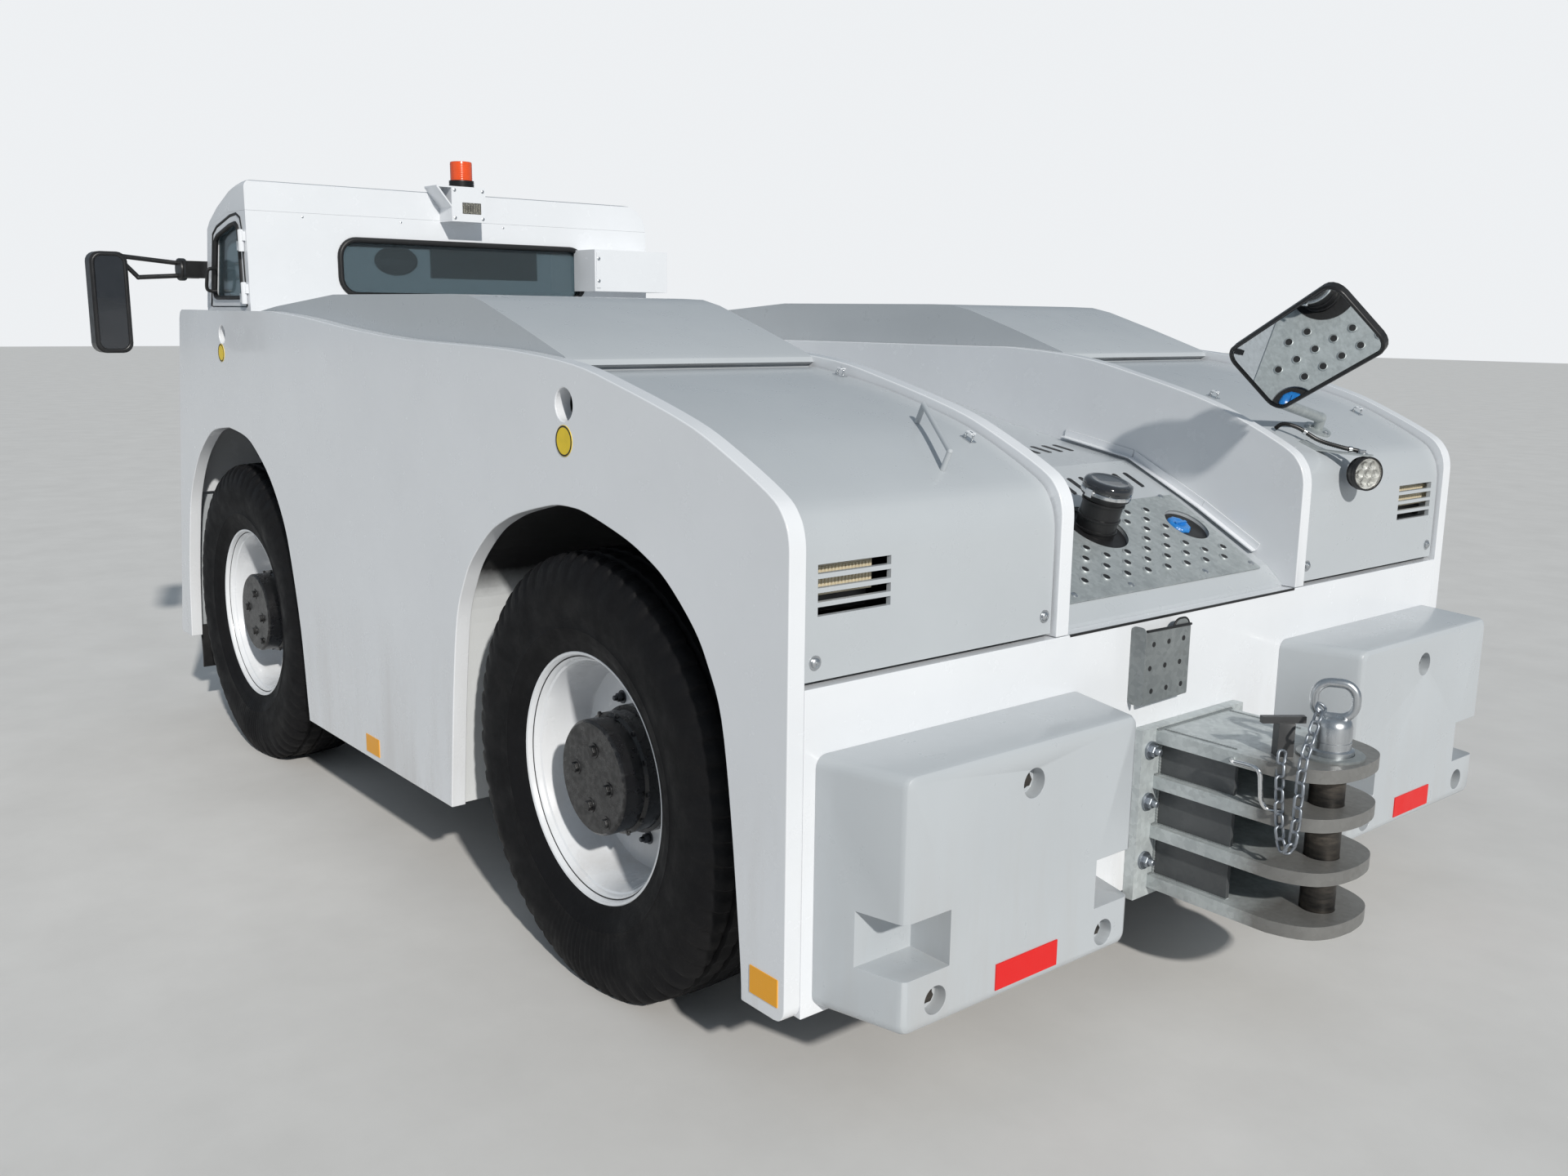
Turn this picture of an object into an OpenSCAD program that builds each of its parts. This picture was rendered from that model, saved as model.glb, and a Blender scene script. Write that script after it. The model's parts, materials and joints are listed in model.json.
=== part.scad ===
// Low airport pushback tractor, drawn in millimetres with +Z up.
// Working axes: X runs forward from the rear axle, Y to the vehicle's left,
// Z up from the ground. Every part is then shifted so that the origin is the
// bottom centre of the whole tractor.

/* [Overall] */
// Distance between the rear and front wheel centres
wheelbase = 2225; // [1800:5:2800]
// Width across the outer faces of the two side plates
body_width = 2440; // [2200:10:2600]
// Thickness of the side plates and of the inner plates
plate_thickness = 40; // [20:1:60]
// Height of the side plates' top edge over the front wheels
plate_top = 1535; // [1300:5:1700]
// Distance from the middle to the inner plate's channel face
channel_half = 445; // [350:5:550]
// Rear face of the plates, behind the rear axle
tail_reach = 761; // [650:1:900]
// Front lower corner of the side plates, ahead of the front axle
nose_overhang = 687; // [500:1:900]
// How far the front edge of a side plate leans back at its top
nose_lean = 249; // [0:1:400]
// Height of the rear plate's top edge
tail_top = 875; // [800:5:950]
// Lowest edge of the side plates' rear legs
leg_bottom = 232; // [150:1:350]
// Lowest edge of the side plates between the wheels
skirt_bottom = 265; // [150:1:400]

/* [Wheels] */
// Radius of the tyre's tread
tyre_radius = 520; // [450:1:600]
// Width of the tyre
tyre_width = 278; // [200:1:350]
// Height of the wheel centres with the tyres loaded
wheel_height = 500; // [430:1:600]
// Distance from the middle to the outer rim flange
rim_face = 1170; // [1000:1:1250]
// Diameter across the rim flange
rim_diameter = 585; // [500:1:650]
// Width across the two rim flanges
rim_width = 214; // [150:1:280]
// Radius of the wheel hub's drum
hub_radius = 150; // [100:1:190]

/* [Steering] */
// Distance from the middle to the steering pivot's axis
pivot_half = 862; // [750:1:950]

/* [Hoods] */
// Thickness of hood, hump and cab sheet
sheet = 12; // [6:1:20]
// Gap round the hood lids
lid_gap = 6; // [5:1:12]
// Height of the humps' crest
hump_top = 1580; // [1500:1:1700]

/* [Cab] */
// How far the cab's rear wall stands behind the front axle
cab_setback = 75; // [40:5:200]
// Length of the cab at its foot
cab_length = 450; // [420:5:480]
// How far the cab's left side stands in from the side plate
cab_inset = 40; // [10:5:120]
// Gap between the cab and the right inner plate
tub_gap = 15; // [5:1:60]
// Height of the cab roof
cab_top = 1955; // [1800:5:2200]
// Height of the cab's floor
cab_floor = 780; // [600:5:1000]
// Thickness of the cab walls
cab_wall = 30; // [15:1:50]

/* [Ends] */
// Length of the rear hitch behind the rear plate
hitch_length = 454; // [380:1:600]
// Depth of the rear weights
weight_depth = 195; // [100:1:300]
// Length of the front hitch ahead of the front weight
front_hitch_length = 270; // [240:1:400]
// Radius of the hitch pins
pin_radius = 37.5; // [20:0.5:42]
// Gap between a hitch pin and its bore
pin_gap = 0.5; // [0.3:0.1:2]

/* [Mirror] */
// How far the left mirror reaches out beyond the side plate
mirror_out = 290; // [200:5:400]

/* [Hidden] */
$fn = 48;
skin = body_width / 2;
nose_reach = wheelbase + nose_overhang;
cab_rear = wheelbase - cab_setback;
cab_front = cab_rear + cab_length;
cab_left = skin - plate_thickness - cab_inset;
cab_right = tub_gap - channel_half;
hitch_reach = tail_reach + hitch_length;
// Face of the front weight.
weight_face = nose(330) + 50;
front_hitch_reach = weight_face + front_hitch_length;
mirror_reach = skin + mirror_out;
// Top of the deck ahead of the humps, foot of the cab's upper part, and its eaves.
deck = plate_top - 4;
sill = deck + 14;
eave = cab_top - 97;
bay_out = skin - plate_thickness;
bay_in = channel_half + plate_thickness;
bay_mid = (bay_out + bay_in) / 2;
bay_wide = bay_out - bay_in;
x_mid = (front_hitch_reach - hitch_reach) / 2;
y_mid = (mirror_reach - skin) / 2;
white = [0.93, 0.93, 0.91];
grey = [0.72, 0.75, 0.77];
black = [0.06, 0.06, 0.07];
steel = [0.62, 0.63, 0.62];
arch_front_x = wheelbase - 25;
// Front face of the rear cross wall, which carries the tank.
cross_x = 231 - tail_reach;

// Moves a part from the working axes to the stored origin.
module stored() { translate([-x_mid, -y_mid, 0]) children(); }

// A point on a smooth curve between b and c, with a and d as its neighbours.
function between(a, b, c, d, t) = 0.5 * (2 * b + (c - a) * t + (2 * a - 5 * b + 4 * c - d) * t * t
    + (3 * b - a - 3 * c + d) * t * t * t);
// A smooth curve through a list of points.
function curve(p, n) = let (last = len(p) - 1) concat(
    [for (i = [0:last - 1]) for (k = [0:n - 1])
        between(p[max(i - 1, 0)], p[i], p[i + 1], p[min(i + 2, last)], k / n)], [p[last]]);
function flip(p) = [for (i = [len(p) - 1:-1:0]) p[i]];
// Front edge of the side plates at a height.
function nose(z) = nose_reach - nose_lean * (z - 326) / (plate_top - 326);
function shift(p, dx, dz) = [for (q = p) [q[0] + dx, q[1] + dz]];

// Top edge from the tail to the nose: distance ahead of the rear axle, height.
tail_edge = [[-tail_reach, 1100], [2 - tail_reach, 1150], [19 - tail_reach, 1192], [63 - tail_reach, 1229],
    [207 - tail_reach, 1296],
    [-437, 1339], [-226, 1393], [-38, 1432], [204, 1453]];
// Places between the axles, as shares of the wheelbase, with heights.
top_edge = [[0.18, 1460], [0.35, 1468], [0.504, 1488], [0.664, 1518], [0.785, plate_top - 2]];
outer_edge = concat(tail_edge, [for (q = top_edge) [wheelbase * q[0], q[1]]]);
inner_edge = concat(tail_edge, [[330, 1454]]);
// Half of an arch, from its top to its foot: distance from its middle, height.
rear_arch = [[0, 1127], [70, 1122], [209, 1090], [290, 1062], [370, 1021], [462, 943], [510, 875],
    [552, 781], [583, 597], [612, 340], [618, 262]];
front_arch = [[0, 1147], [150, 1130], [245, 1093], [365, 1010], [462, 890], [512, 767], [564, 553],
    [590, 330], [596, 285]];
function full_arch(half, xc, n) = let (c = curve(half, n), m = len(c) - 1) concat(
    [for (i = [m:-1:1]) [xc - c[i][0], c[i][1]]], [for (i = [0:m]) [xc + c[i][0], c[i][1]]]);

// Draws an X-Z outline as a slab between two distances from the middle.
module slab(y0, y1) { translate([0, y1, 0]) rotate([90, 0, 0]) linear_extrude(y1 - y0) children(); }
// A box from its low corner to its high corner.
module box(a, b) { translate(a) cube(b - a); }
// A ball turned from a half circle.
module ball(r) { rotate_extrude() polygon(arc(0, 0, r, -90, 90, 8)); }
// A round bar between two points, with a slightly larger ball at its far end.
module rod(a, b, r) {
    d = b - a;
    translate(a) rotate([0, acos(d[2] / norm(d)), atan2(d[1], d[0])]) cylinder(h = norm(d), r = r);
    translate(b) ball(r * 1.08);
}
module side(s) { if (s > 0) children(); else mirror([0, 1, 0]) children(); }

// Lifting holes of a side plate: distance ahead of the rear axle, height, radius.
lift_holes = [[0, 1345, 36], [wheelbase - 13, 1455, 30]];

// An arch cut open below its feet.
module arch_gap(half, xc) {
    f = half[len(half) - 1];
    polygon(concat([[xc - f[0] - 4, 100]], full_arch(half, xc, 4), [[xc + f[0] + 4, 100]]));
}
module side_plate() {
    slab(skin - plate_thickness, skin) difference() {
        polygon(concat(curve(outer_edge, 4), [[nose(plate_top) - 25, plate_top],
            [nose(plate_top) - 6, plate_top - 8], [nose(plate_top - 30), plate_top - 30],
            [nose(330), 330], [nose(330) - 10, 316], [arch_front_x + 560, 316], [arch_front_x + 400, 400],
            [arch_front_x - 400, 400], [arch_front_x - 560, skirt_bottom], [580, skirt_bottom], [400, 400],
            [-400, 400], [-600, leg_bottom]],
            arc(-tail_reach + 30, leg_bottom + 30, 30, 270, 180, 4)));
        for (h = lift_holes) translate([h[0], h[1]]) circle(r = h[2]);
        arch_gap(front_arch, arch_front_x);
        arch_gap(rear_arch, -10);
    }
    ledge(bay_out - ledge_width, bay_out + 1);
}
module side_plate_left() { color(white) stored() side_plate(); }
module side_plate_right() { color(white) stored() side(-1) side_plate(); }

module inner_plate() {
    slab(channel_half, bay_in)
        polygon(concat(curve(inner_edge, 4), [[cab_rear - 5, 1454], [cab_rear - 5, 1250],
            [nose(1250) - 50.3, 1250], [nose(868) - 50.3, 868], [nose(866) - 30.3, 865],
                [nose(430) - 30.3, 430],
            [wheelbase + 165, 430], [wheelbase + 165, 700], [wheelbase - 165, 700], [wheelbase - 165, 330],
            [165, 330], [165, 700], [-165, 700], [-165, 420], [-tail_reach + plate_thickness, 420],
            [-tail_reach + plate_thickness, tail_top + 1], [-tail_reach, tail_top + 1]]));
    ledge(bay_in - 1, bay_in + ledge_width);
}
module inner_plates() { color(white) stored() { inner_plate(); side(-1) inner_plate(); } }

module rear_plate() {
    color(white) stored() box([-tail_reach, -bay_out, leg_bottom],
        [-tail_reach + plate_thickness, bay_out, tail_top]);
}

module chassis() {
    color(black) stored() {
        // Belly between the inner plates, and cross walls.
        box([300, -channel_half, 330], [wheelbase - 275, channel_half, 350]);
        box([cross_x - 30, -channel_half, 450], [cross_x, channel_half, 940]);
        box([560, -channel_half, 350], [600, channel_half, 1240]);
        box([wheelbase - 625, -channel_half, 350], [wheelbase - 585, channel_half, 1280]);
        // Cross beams that carry the cab.
        for (x = [cab_rear + 30, cab_front - 100])
            box([x, -channel_half, cab_floor - 70], [x + 80, channel_half, cab_floor]);
        // Floors of the two side bays.
        for (s = [-1, 1]) side(s) box([660, bay_in, 300], [wheelbase - 665, bay_out, 320]);
    }
}

module front_fascia() {
    color(white) stored() difference() {
        slab(-bay_out, bay_out) polygon([[nose(868) - 50, 868], [nose(868) - 10, 868],
            [nose(1450) - 10, 1450],
            [nose(1500) - 22, 1500], [nose(deck) - 50, deck], [cab_front - 43, deck],
                [cab_front - 43, deck - sheet],
            [nose(1500) - 64, 1500], [nose(1440) - 50, 1440]]);
        box([cab_front - 200, cab_right - 4, deck - 130], [cab_front + 4, cab_left + 4, deck + 170]);
    }
}
// Round pockets of the head lamps: distance from the middle, height, radius.
lamp_places = [[bay_mid + 48, 560, 80], [bay_mid - 132, 560, 80]];
module front_weight() {
    color(grey) stored() difference() {
        slab(-bay_out, bay_out) polygon([[nose(330) - 30, 330], [nose(330) + 30, 330], [weight_face, 370],
            [weight_face, 660], [nose(860) + 70, 866], [nose(866) - 30, 866]]);
        for (s = [-1, 1], p = lamp_places) translate([weight_face - 60, s * p[0], p[1]]) rotate([0, 90, 0])
            cylinder(h = 80, r = p[2]);
    }
}

// Hitch tongue levels: height of the upper face.
tongue_tops = [618, 510, 390, 268];
tongue = 30;
tongue_half = 150;
hitch_plate = 29;
web = 12;
// Rounded end of a tongue: distance beyond the pin, half width.
tongue_end = [[-32, tongue_half], [15, 135], [55, 106], [77, 58], [84, 0]];
pin_back = 84;
pin_x = pin_back - hitch_reach;
// A hitch drawn with its pin at the origin and its tongues running to -x from a back plate.
module hitch_shape(root, levels, low, high, web_end) {
    tip = curve(tongue_end, 3);
    half = [for (q = tip) [-q[0], q[1]]];
    difference() {
        union() {
            for (z = levels) translate([0, 0, z - tongue]) linear_extrude(tongue)
                polygon(concat([[root, tongue_half]], half,
                    flip([for (i = [0:len(half) - 2]) [half[i][0], -half[i][1]]]),
                    [[root, -tongue_half]]));
            for (s = [-1, 1]) side(s)
                box([web_end, tongue_half - 22 - web, levels[len(levels) - 1] - tongue],
                    [root, tongue_half - 22, levels[0]]);
            box([root - hitch_plate, -200, low], [root, 200, high]);
        }
        cylinder(h = 1000, r = pin_radius + pin_gap);
    }
}
// Pin with its collar and domed head, standing on a tongue's top, and its lifting ring.
module pin_shape(foot, top, head) {
    rotate_extrude() polygon([[0, foot], [pin_radius - 6, foot], [pin_radius, foot + 6],
        [pin_radius, top + 0.3],
        [pin_radius + 11, top + 0.3], [pin_radius + 11, top + 17], [pin_radius + 4, top + 19],
        [pin_radius + 4, top + head - 24], [pin_radius - 2, top + head - 18],
            [pin_radius - 6, top + head - 6],
        [pin_radius - 14, top + head - 1], [0, top + head]]);
    translate([0, 0, top + head + 29]) rotate([0, 0, 28]) rotate([90, 0, 0])
        rotate_extrude() translate([40, 0]) circle(r = 8, $fn = 12);
}
module rear_hitch() {
    color(steel) stored() {
        translate([pin_x, 0, 0]) hitch_shape(hitch_length - pin_back, tongue_tops, 217, 625, 146);
        // Latch of the pin: a block on the top tongue and its lever.
        translate([pin_x + 62, 88, tongue_tops[0] - 1]) rotate([0, 0, 53]) {
            box([-18, -16, 0], [18, 16, 76]);
            box([-44, -8, 75], [52, 8, 90]);
        }
    }
}
module rear_pin() { color(black) stored() translate([pin_x, 0, 0]) pin_shape(222, tongue_tops[0], 92); }

front_pin_x = front_hitch_reach - pin_back;
front_tongues = [560, 440];
module front_hitch() {
    color(steel) stored() translate([front_pin_x, 0, 0]) rotate([0, 0, 180])
        hitch_shape(front_hitch_length - pin_back, front_tongues, 380, 620, 100);
}
module front_pin() {
    color(black) stored() translate([front_pin_x, 0, 0]) pin_shape(385, front_tongues[0], 60);
}

// Channel floor from the tail forward: distance ahead of the rear axle, height.
floor_line = [[40 - tail_reach, tail_top + 8], [85 - tail_reach, 924], [213 - tail_reach, 995],
    [344 - tail_reach, 1068], [530 - tail_reach, 1155], [11, 1194], [201, 1229], [700, 1330],
        [cab_rear - 6, 1400]];
// The rear slope's own axes: up the slope from the second floor point, and out of the floor.
slope_from = floor_line[1];
slope_rise = floor_line[3] - floor_line[1];
slope_angle = atan2(slope_rise[1], slope_rise[0]);
slope_long = norm(slope_rise);
module on_slope() { translate([slope_from[0], 0, slope_from[1]]) rotate([0, -slope_angle, 0]) children(); }
// Holes round the fillers: distance up the slope, distance to the left, radius.
filler_holes = [[224, 10, 85], [188, 123 - channel_half, 62]];
// Drain slots of the floor: place of a row's middle along the channel.
slot_rows = [443 - tail_reach, -72];
slot_first = 95 - channel_half;
slot_pitch = 47;
slots = 10;
module channel_floor() {
    color(grey) stored() difference() {
        slab(-channel_half, channel_half) polygon(concat(floor_line, flip(shift(floor_line, 0, -sheet))));
        on_slope() for (h = filler_holes) translate([h[0], h[1], -30]) cylinder(h = 60, r = h[2]);
        for (x = slot_rows, i = [0:slots - 1]) translate([x, slot_first + slot_pitch * i, 1000])
            box([-34, -7, 0], [34, 7, 260]);
    }
}
// Tread plate: its gap to the floor, thickness, and its raised perforations.
seat_gap = 0.3;
tread = 4;
hole_rows = 7;
row_pitch = 35.6;
hole_pitch = 79;
module perforation_places(keep) {
    for (i = [0:hole_rows - 1], k = [-6:6]) {
        u = 48 + i * row_pitch;
        v = 6 + hole_pitch * (k + (i % 2) / 2);
        clear = min([for (h = filler_holes) norm([u - h[0], v - h[1]]) - h[2]]);
        if (clear > keep && v > 70 - channel_half && v < channel_half - 35) translate([u, v]) children();
    }
}
module tread_plate() {
    color(steel) stored() on_slope() translate([0, 0, seat_gap]) {
        linear_extrude(tread) difference() {
            translate([-10, 45 - channel_half]) square([slope_long + 26, 2 * channel_half - 60]);
            for (h = filler_holes) translate([h[0], h[1]]) circle(r = h[2]);
            perforation_places(18) circle(r = 5.5, $fn = 8);
        }
        translate([0, 0, tread]) linear_extrude(3) difference() {
            perforation_places(18) circle(r = 11, $fn = 8);
            perforation_places(18) circle(r = 5.5, $fn = 8);
        }
    }
}
// Tank under the slope, against the rear cross wall.
tank_top = 960;
module tank() {
    color(black) stored() box([cross_x, 25 - channel_half, 700], [-200, channel_half - 25, tank_top]);
}
// Keeps what stands above the tank's top.
module on_tank() {
    difference() {
        children();
        box([cross_x - 150, -channel_half, tank_top - 300], [0, channel_half, tank_top + seat_gap]);
    }
}
module filler_black() {
    color(black) stored() on_tank()
        translate([296 - tail_reach, 0, 1012]) rotate([0, -16.3, 0]) rotate_extrude()
        polygon([[0, -90], [50, -90], [50, 108], [60, 108], [60, 138], [54, 145], [0, 147]]);
}
module filler_blue() {
    color([0.05, 0.35, 0.75]) stored() on_tank()
        translate([260 - tail_reach, 137 - channel_half, 1020]) rotate([0, -slope_angle, 0])
        rotate_extrude() polygon([[0, -90], [25, -90], [25, -26], [31.5, -26], [31.5, -3], [28.5, 0],
            [0, 0]]);
}

// Hood lid: its outer line from the front edge to the rear face's foot.
hood_line = [[30, 1414], [-38, 1406], [-226, 1373], [-437, 1319], [207 - tail_reach, 1276],
    [71 - tail_reach, 1209],
    [33 - tail_reach, 1172], [17 - tail_reach, 1130], [13 - tail_reach, 1070],
        [13 - tail_reach, tail_top + 9]];
ledge_width = 22;
// The same line moved inward by a distance.
function inward(c, t) = [for (i = [0:len(c) - 1]) let (a = c[max(i - 1, 0)], b = c[min(i + 1, len(c) - 1)],
    d = b - a) c[i] - [d[1], -d[0]] / norm(d) * t];
hood_curve = curve(hood_line, 3);
hood_soffit = inward(hood_curve, sheet);
// Ledge that the lid's edge rests on, from near the hinge to above the rear face's foot.
module ledge(y0, y1) {
    top = inward(hood_curve, sheet + 0.3);
    low = inward(hood_curve, sheet + 12);
    pick = [3:len(hood_curve) - 4];
    slab(y0, y1) polygon(concat([for (i = pick) top[i]], flip([for (i = pick) low[i]])));
}
// Hinge at the lid's front edge: axis place, barrel radius, then spans along Y from the bay's middle.
hinge_x = 38;
hinge_z = 1390;
hinge_r = 9;
lid_barrels = [[-240, -180], [180, 240]];
fixed_barrels = [[-300, -240.3], [-179.7, -120], [120, 179.7], [240.3, 300]];
module barrel(span) {
    translate([hinge_x, bay_mid + span[0], hinge_z]) rotate([-90, 0, 0])
        cylinder(h = span[1] - span[0], r = hinge_r);
}
// Louvre slots through the rear face: height of each slot's foot.
louvres = [1004, 1030, 1056, 1082];
louvre_high = 17;
// Near and far end of a slot from the outer plate.
louvre_span = [38, 219];
module hood() {
    difference() {
        slab(bay_in + lid_gap, bay_out - lid_gap) polygon(concat(hood_curve, flip(hood_soffit)));
        for (z = louvres) box([-tail_reach, bay_out - louvre_span[1], z],
            [-tail_reach + 40, bay_out - louvre_span[0], z + louvre_high]);
    }
    for (b = lid_barrels) {
        barrel(b);
        slab(bay_mid + b[0], bay_mid + b[1])
            polygon([[hinge_x - 4, hinge_z - 4], [hinge_x, hinge_z + 8.5], [29, 1406], [14, 1404],
                [hinge_x - 9, hinge_z]]);
    }
}
module hood_left() { color(grey) stored() hood(); }
module hood_right() { color(grey) stored() side(-1) hood(); }
// Keeps what stands outside a lid by the seat gap.
module on_lid() {
    difference() {
        children();
        slab(-bay_out, bay_out)
            polygon(concat(inward(hood_curve, -seat_gap), [[160 - tail_reach, tail_top + 9], [30, 1200]]));
    }
}
// Lifting handle of the left lid: its feet, then the height of its bar and its radius.
handle_feet = [[305 - tail_reach, bay_mid - 218, 1312], [120 - tail_reach, bay_mid - 110, 1233]];
lid_normal = [-0.43, 0, 0.9];
handle_high = 45;
handle_r = 6;
module hood_handle() {
    up = [for (f = handle_feet) f + lid_normal * handle_high];
    color(grey) stored() on_lid() {
        for (i = [0, 1]) rod(handle_feet[i] - lid_normal * 6, up[i], handle_r);
        rod(up[0], up[1], handle_r);
    }
}
// Hitch mirror of the right lid: place of its glass, its long, short and facing directions, and its sizes.
mirror_at = [-tail_reach - 63, -284, 1473];
mirror_long = [0.846, -0.353, -0.400];
mirror_short = [-0.511, -0.467, -0.725];
mirror_face = [0.069, 0.816, -0.574];
mirror_size = [420, 200];
module mirror_frame() {
    l = mirror_long;
    w = mirror_short;
    f = mirror_face;
    multmatrix([[l[0], w[0], f[0], mirror_at[0]], [l[1], w[1], f[1], mirror_at[1]],
        [l[2], w[2], f[2], mirror_at[2]]])
        children();
}
module oblong(d, r) { polygon(rounded(d - mirror_size[0] / 2, mirror_size[0] / 2 - d, d - mirror_size[1] / 2,
    mirror_size[1] / 2 - d, r)); }
module hitch_mirror() {
    color(black) stored() mirror_frame() difference() {
        union() {
            translate([0, 0, -12]) linear_extrude(16) oblong(0, 40);
            translate([0, 0, -22]) linear_extrude(11) oblong(14, 34);
            translate([0, 0, -28]) linear_extrude(7) oblong(32, 28);
        }
        linear_extrude(10) oblong(9, 32);
    }
}
// Brackets of the right lid: the mirror's bent tube and the work lamp's flat bar.
arm_r = 14;
arm_points = [[151 - tail_reach, -750, 1249], [139 - tail_reach, -742, 1285], [104 - tail_reach, -450, 1342]];
lamp_at = [-tail_reach - 39, -672, 1156];
lamp_r = 44;
bar_x = 118 - tail_reach;
module lid_brackets() {
    grip = mirror_at - mirror_face * (28 + seat_gap + arm_r + 6);
    over = inward(hood_curve, -seat_gap);
    top = inward(hood_curve, -seat_gap - 4);
    seat_z = lamp_at[2] + lamp_r + seat_gap;
    lean = (lamp_at[1] + 606) / (bar_x - lamp_at[0]);
    color(steel) stored() {
        on_lid() {
            translate(arm_points[0]) rotate([0, -26, 0]) translate([0, 0, -5]) cylinder(h = 13, r = 36);
            rod(arm_points[0], arm_points[1], arm_r);
        }
        rod(arm_points[1], arm_points[2], arm_r);
        rod(arm_points[2], grip, arm_r);
        translate(grip) ball(arm_r + 6);
        multmatrix([[1, 0, 0, 0], [-lean, 1, 0, lamp_at[1] - lean * -lamp_at[0]], [0, 0, 1, 0]])
            slab(-15, 15) polygon([over[14], over[15], [21 - tail_reach, seat_z + 4],
                [lamp_at[0] - 6, seat_z],
                [lamp_at[0] - 6, seat_z + 4], [21 - tail_reach, seat_z + 8], top[15], top[14]]);
    }
}
// Work lamp: radius against distance behind its lens.
lamp_profile = [[0, 0], [lamp_r - 4, 0], [lamp_r, 3], [lamp_r, 11], [37, 12], [37, 15], [41, 15], [41, 18],
    [37, 18],
    [37, 21], [41, 21], [41, 24], [34, 24], [30, 28], [22, 30], [22, 42], [0, 42]];
module work_lamp() {
    color(black) stored() translate(lamp_at) rotate([0, 0, -24]) rotate([0, 90, 0]) rotate_extrude()
        polygon(lamp_profile);
}

// Hump: its top line from the rear lip to the front deck.
hump_line = [[42, 1426], [48, 1438], [62, 1446], [250, 1507], [430, 1562], [505, hump_top - 3],
    [600, hump_top], [wheelbase - 886, hump_top + 2], [wheelbase - 422, 1548], [wheelbase - 258, deck]];
module hump(front) {
    difference() {
        slab(bay_in, bay_out)
            polygon(concat(hump_line, [[front, deck], [front, deck - sheet]],
                flip(inward(hump_line, -sheet))));
        for (i = [0:9]) translate([510, bay_in + 8 + 22 + 46 * i, hump_top - 60])
            box([0, -7, 0], [70, 7, 90]);
    }
    for (y = [bay_in, bay_out - sheet]) slab(y, y + sheet)
        polygon(concat([for (i = [2:len(hump_line) - 1]) hump_line[i]],
            [[wheelbase - 258, 1440], [60, 1360]]));
    box([60, bay_in, 1360], [60 + sheet, bay_out, 1440]);
    for (b = fixed_barrels) {
        barrel(b);
        slab(bay_mid + b[0], bay_mid + b[1])
            polygon([[hinge_x, hinge_z - 8.5], [61, hinge_z - 12], [61, hinge_z + 4],
                [hinge_x + 4, hinge_z + 4]]);
    }
}
module hump_left() { color(grey) stored() hump(cab_rear - 0.3); }
module hump_right() { color(grey) stored() side(-1) hump(cab_front - 44); }

// Rear weight, a casting that narrows to its face: distance behind the rear plate, inner and outer edge,
// foot, top and corner radius.
weight_sections = [[1, bay_in - 92, bay_out - 28, 249, 748, 25],
    [weight_depth - 15, bay_in - 39, bay_out - 72, 250, 748, 25],
    [weight_depth - 5, bay_in - 33, bay_out - 77, 254, 744, 22],
        [weight_depth, bay_in - 23, bay_out - 87, 264, 734, 15]];
// Bolt pockets of a weight: distance from the middle, height, radius; then their depth.
weight_pockets = [[bay_in + 283, 668, 30], [bay_out - 160, 302, 28], [bay_in + 44, 295, 28]];
pocket_depth = 30;
module weight() {
    face = -tail_reach - weight_depth;
    difference() {
        hull() for (w = weight_sections)
            facing(-tail_reach - w[0], -tail_reach - w[0] + 1) polygon(rounded(w[1], w[2], w[3], w[4], w[5]));
        for (p = weight_pockets) translate([face - 1, p[0], p[1]]) rotate([0, 90, 0])
            cylinder(h = pocket_depth + 1, r = p[2]);
        // Hand-hold at the outer edge, and a passage at the inner edge.
        box([face - 1, bay_out - 195, 360], [face + 104, bay_out, 470]);
        box([face - 1, bay_in - 100, 355], [-tail_reach + 1, bay_in + 77, 460]);
    }
}
module rear_weights() { color(grey) stored() { weight(); side(-1) weight(); } }
// Perforated channel beside the hitch: its edges across, foot, top, depth and sheet.
channel_y = [-24, 224];
channel_z = [634, 884];
channel_deep = 30;
channel_sheet = 4;
module bracket() {
    back = -tail_reach - channel_deep;
    color(steel) stored() difference() {
        box([back, channel_y[0], channel_z[0]], [-tail_reach, channel_y[1], channel_z[1]]);
        box([back + channel_sheet, channel_y[0] + channel_sheet, channel_z[0] - 1],
            [-tail_reach + 1, channel_y[1] - channel_sheet, channel_z[1] + 1]);
        for (y = [0:2], z = [0:1])
            translate([back - 1, channel_y[0] + 50 + 74 * y, channel_z[0] + 70 + 110 * z])
            rotate([0, 90, 0]) cylinder(h = 10, r = 7, $fn = 12);
    }
}

// A wheel housing: an arch of sheet between the inner and the outer plate.
function wider(half, d) = let (n = len(half) - 1, low = half[n][1])
    [for (q = half) [q[0] + d + 4, q[1] + d * (q[1] - low) / (half[0][1] - low)]];
module rear_housing() {
    slab(bay_in, bay_out) difference() {
        polygon(full_arch(wider(rear_arch, 32), -10, 2));
        arch_gap(wider(rear_arch, 22), -10);
        // Trimmed by the rear plate.
        translate([-tail_reach - 200, 0]) square([plate_thickness + 200.3, 2000]);
    }
}
// The front one has no front leg: it runs forward to the fascia.
module front_housing() {
    function back(d) = let (c = curve(wider(front_arch, d), 2), m = len(c) - 1)
        [for (i = [m:-1:0]) [arch_front_x - c[i][0], c[i][1]]];
    outer = back(32);
    inner = back(22);
    slab(bay_in, bay_out) polygon(concat(outer, [[nose(1179) - 50.3, 1179], [nose(1169) - 50.3, 1169]],
        flip(inner)));
}

module arches() {
    rear_housing();
    front_housing();
}
module arches_left() { color(white) stored() arches(); }
module arches_right() { color(white) stored() side(-1) arches(); }

module engine() { color(black) stored() box([740, bay_in, 320], [wheelbase - 745, bay_out - 80, 1380]); }

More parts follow.
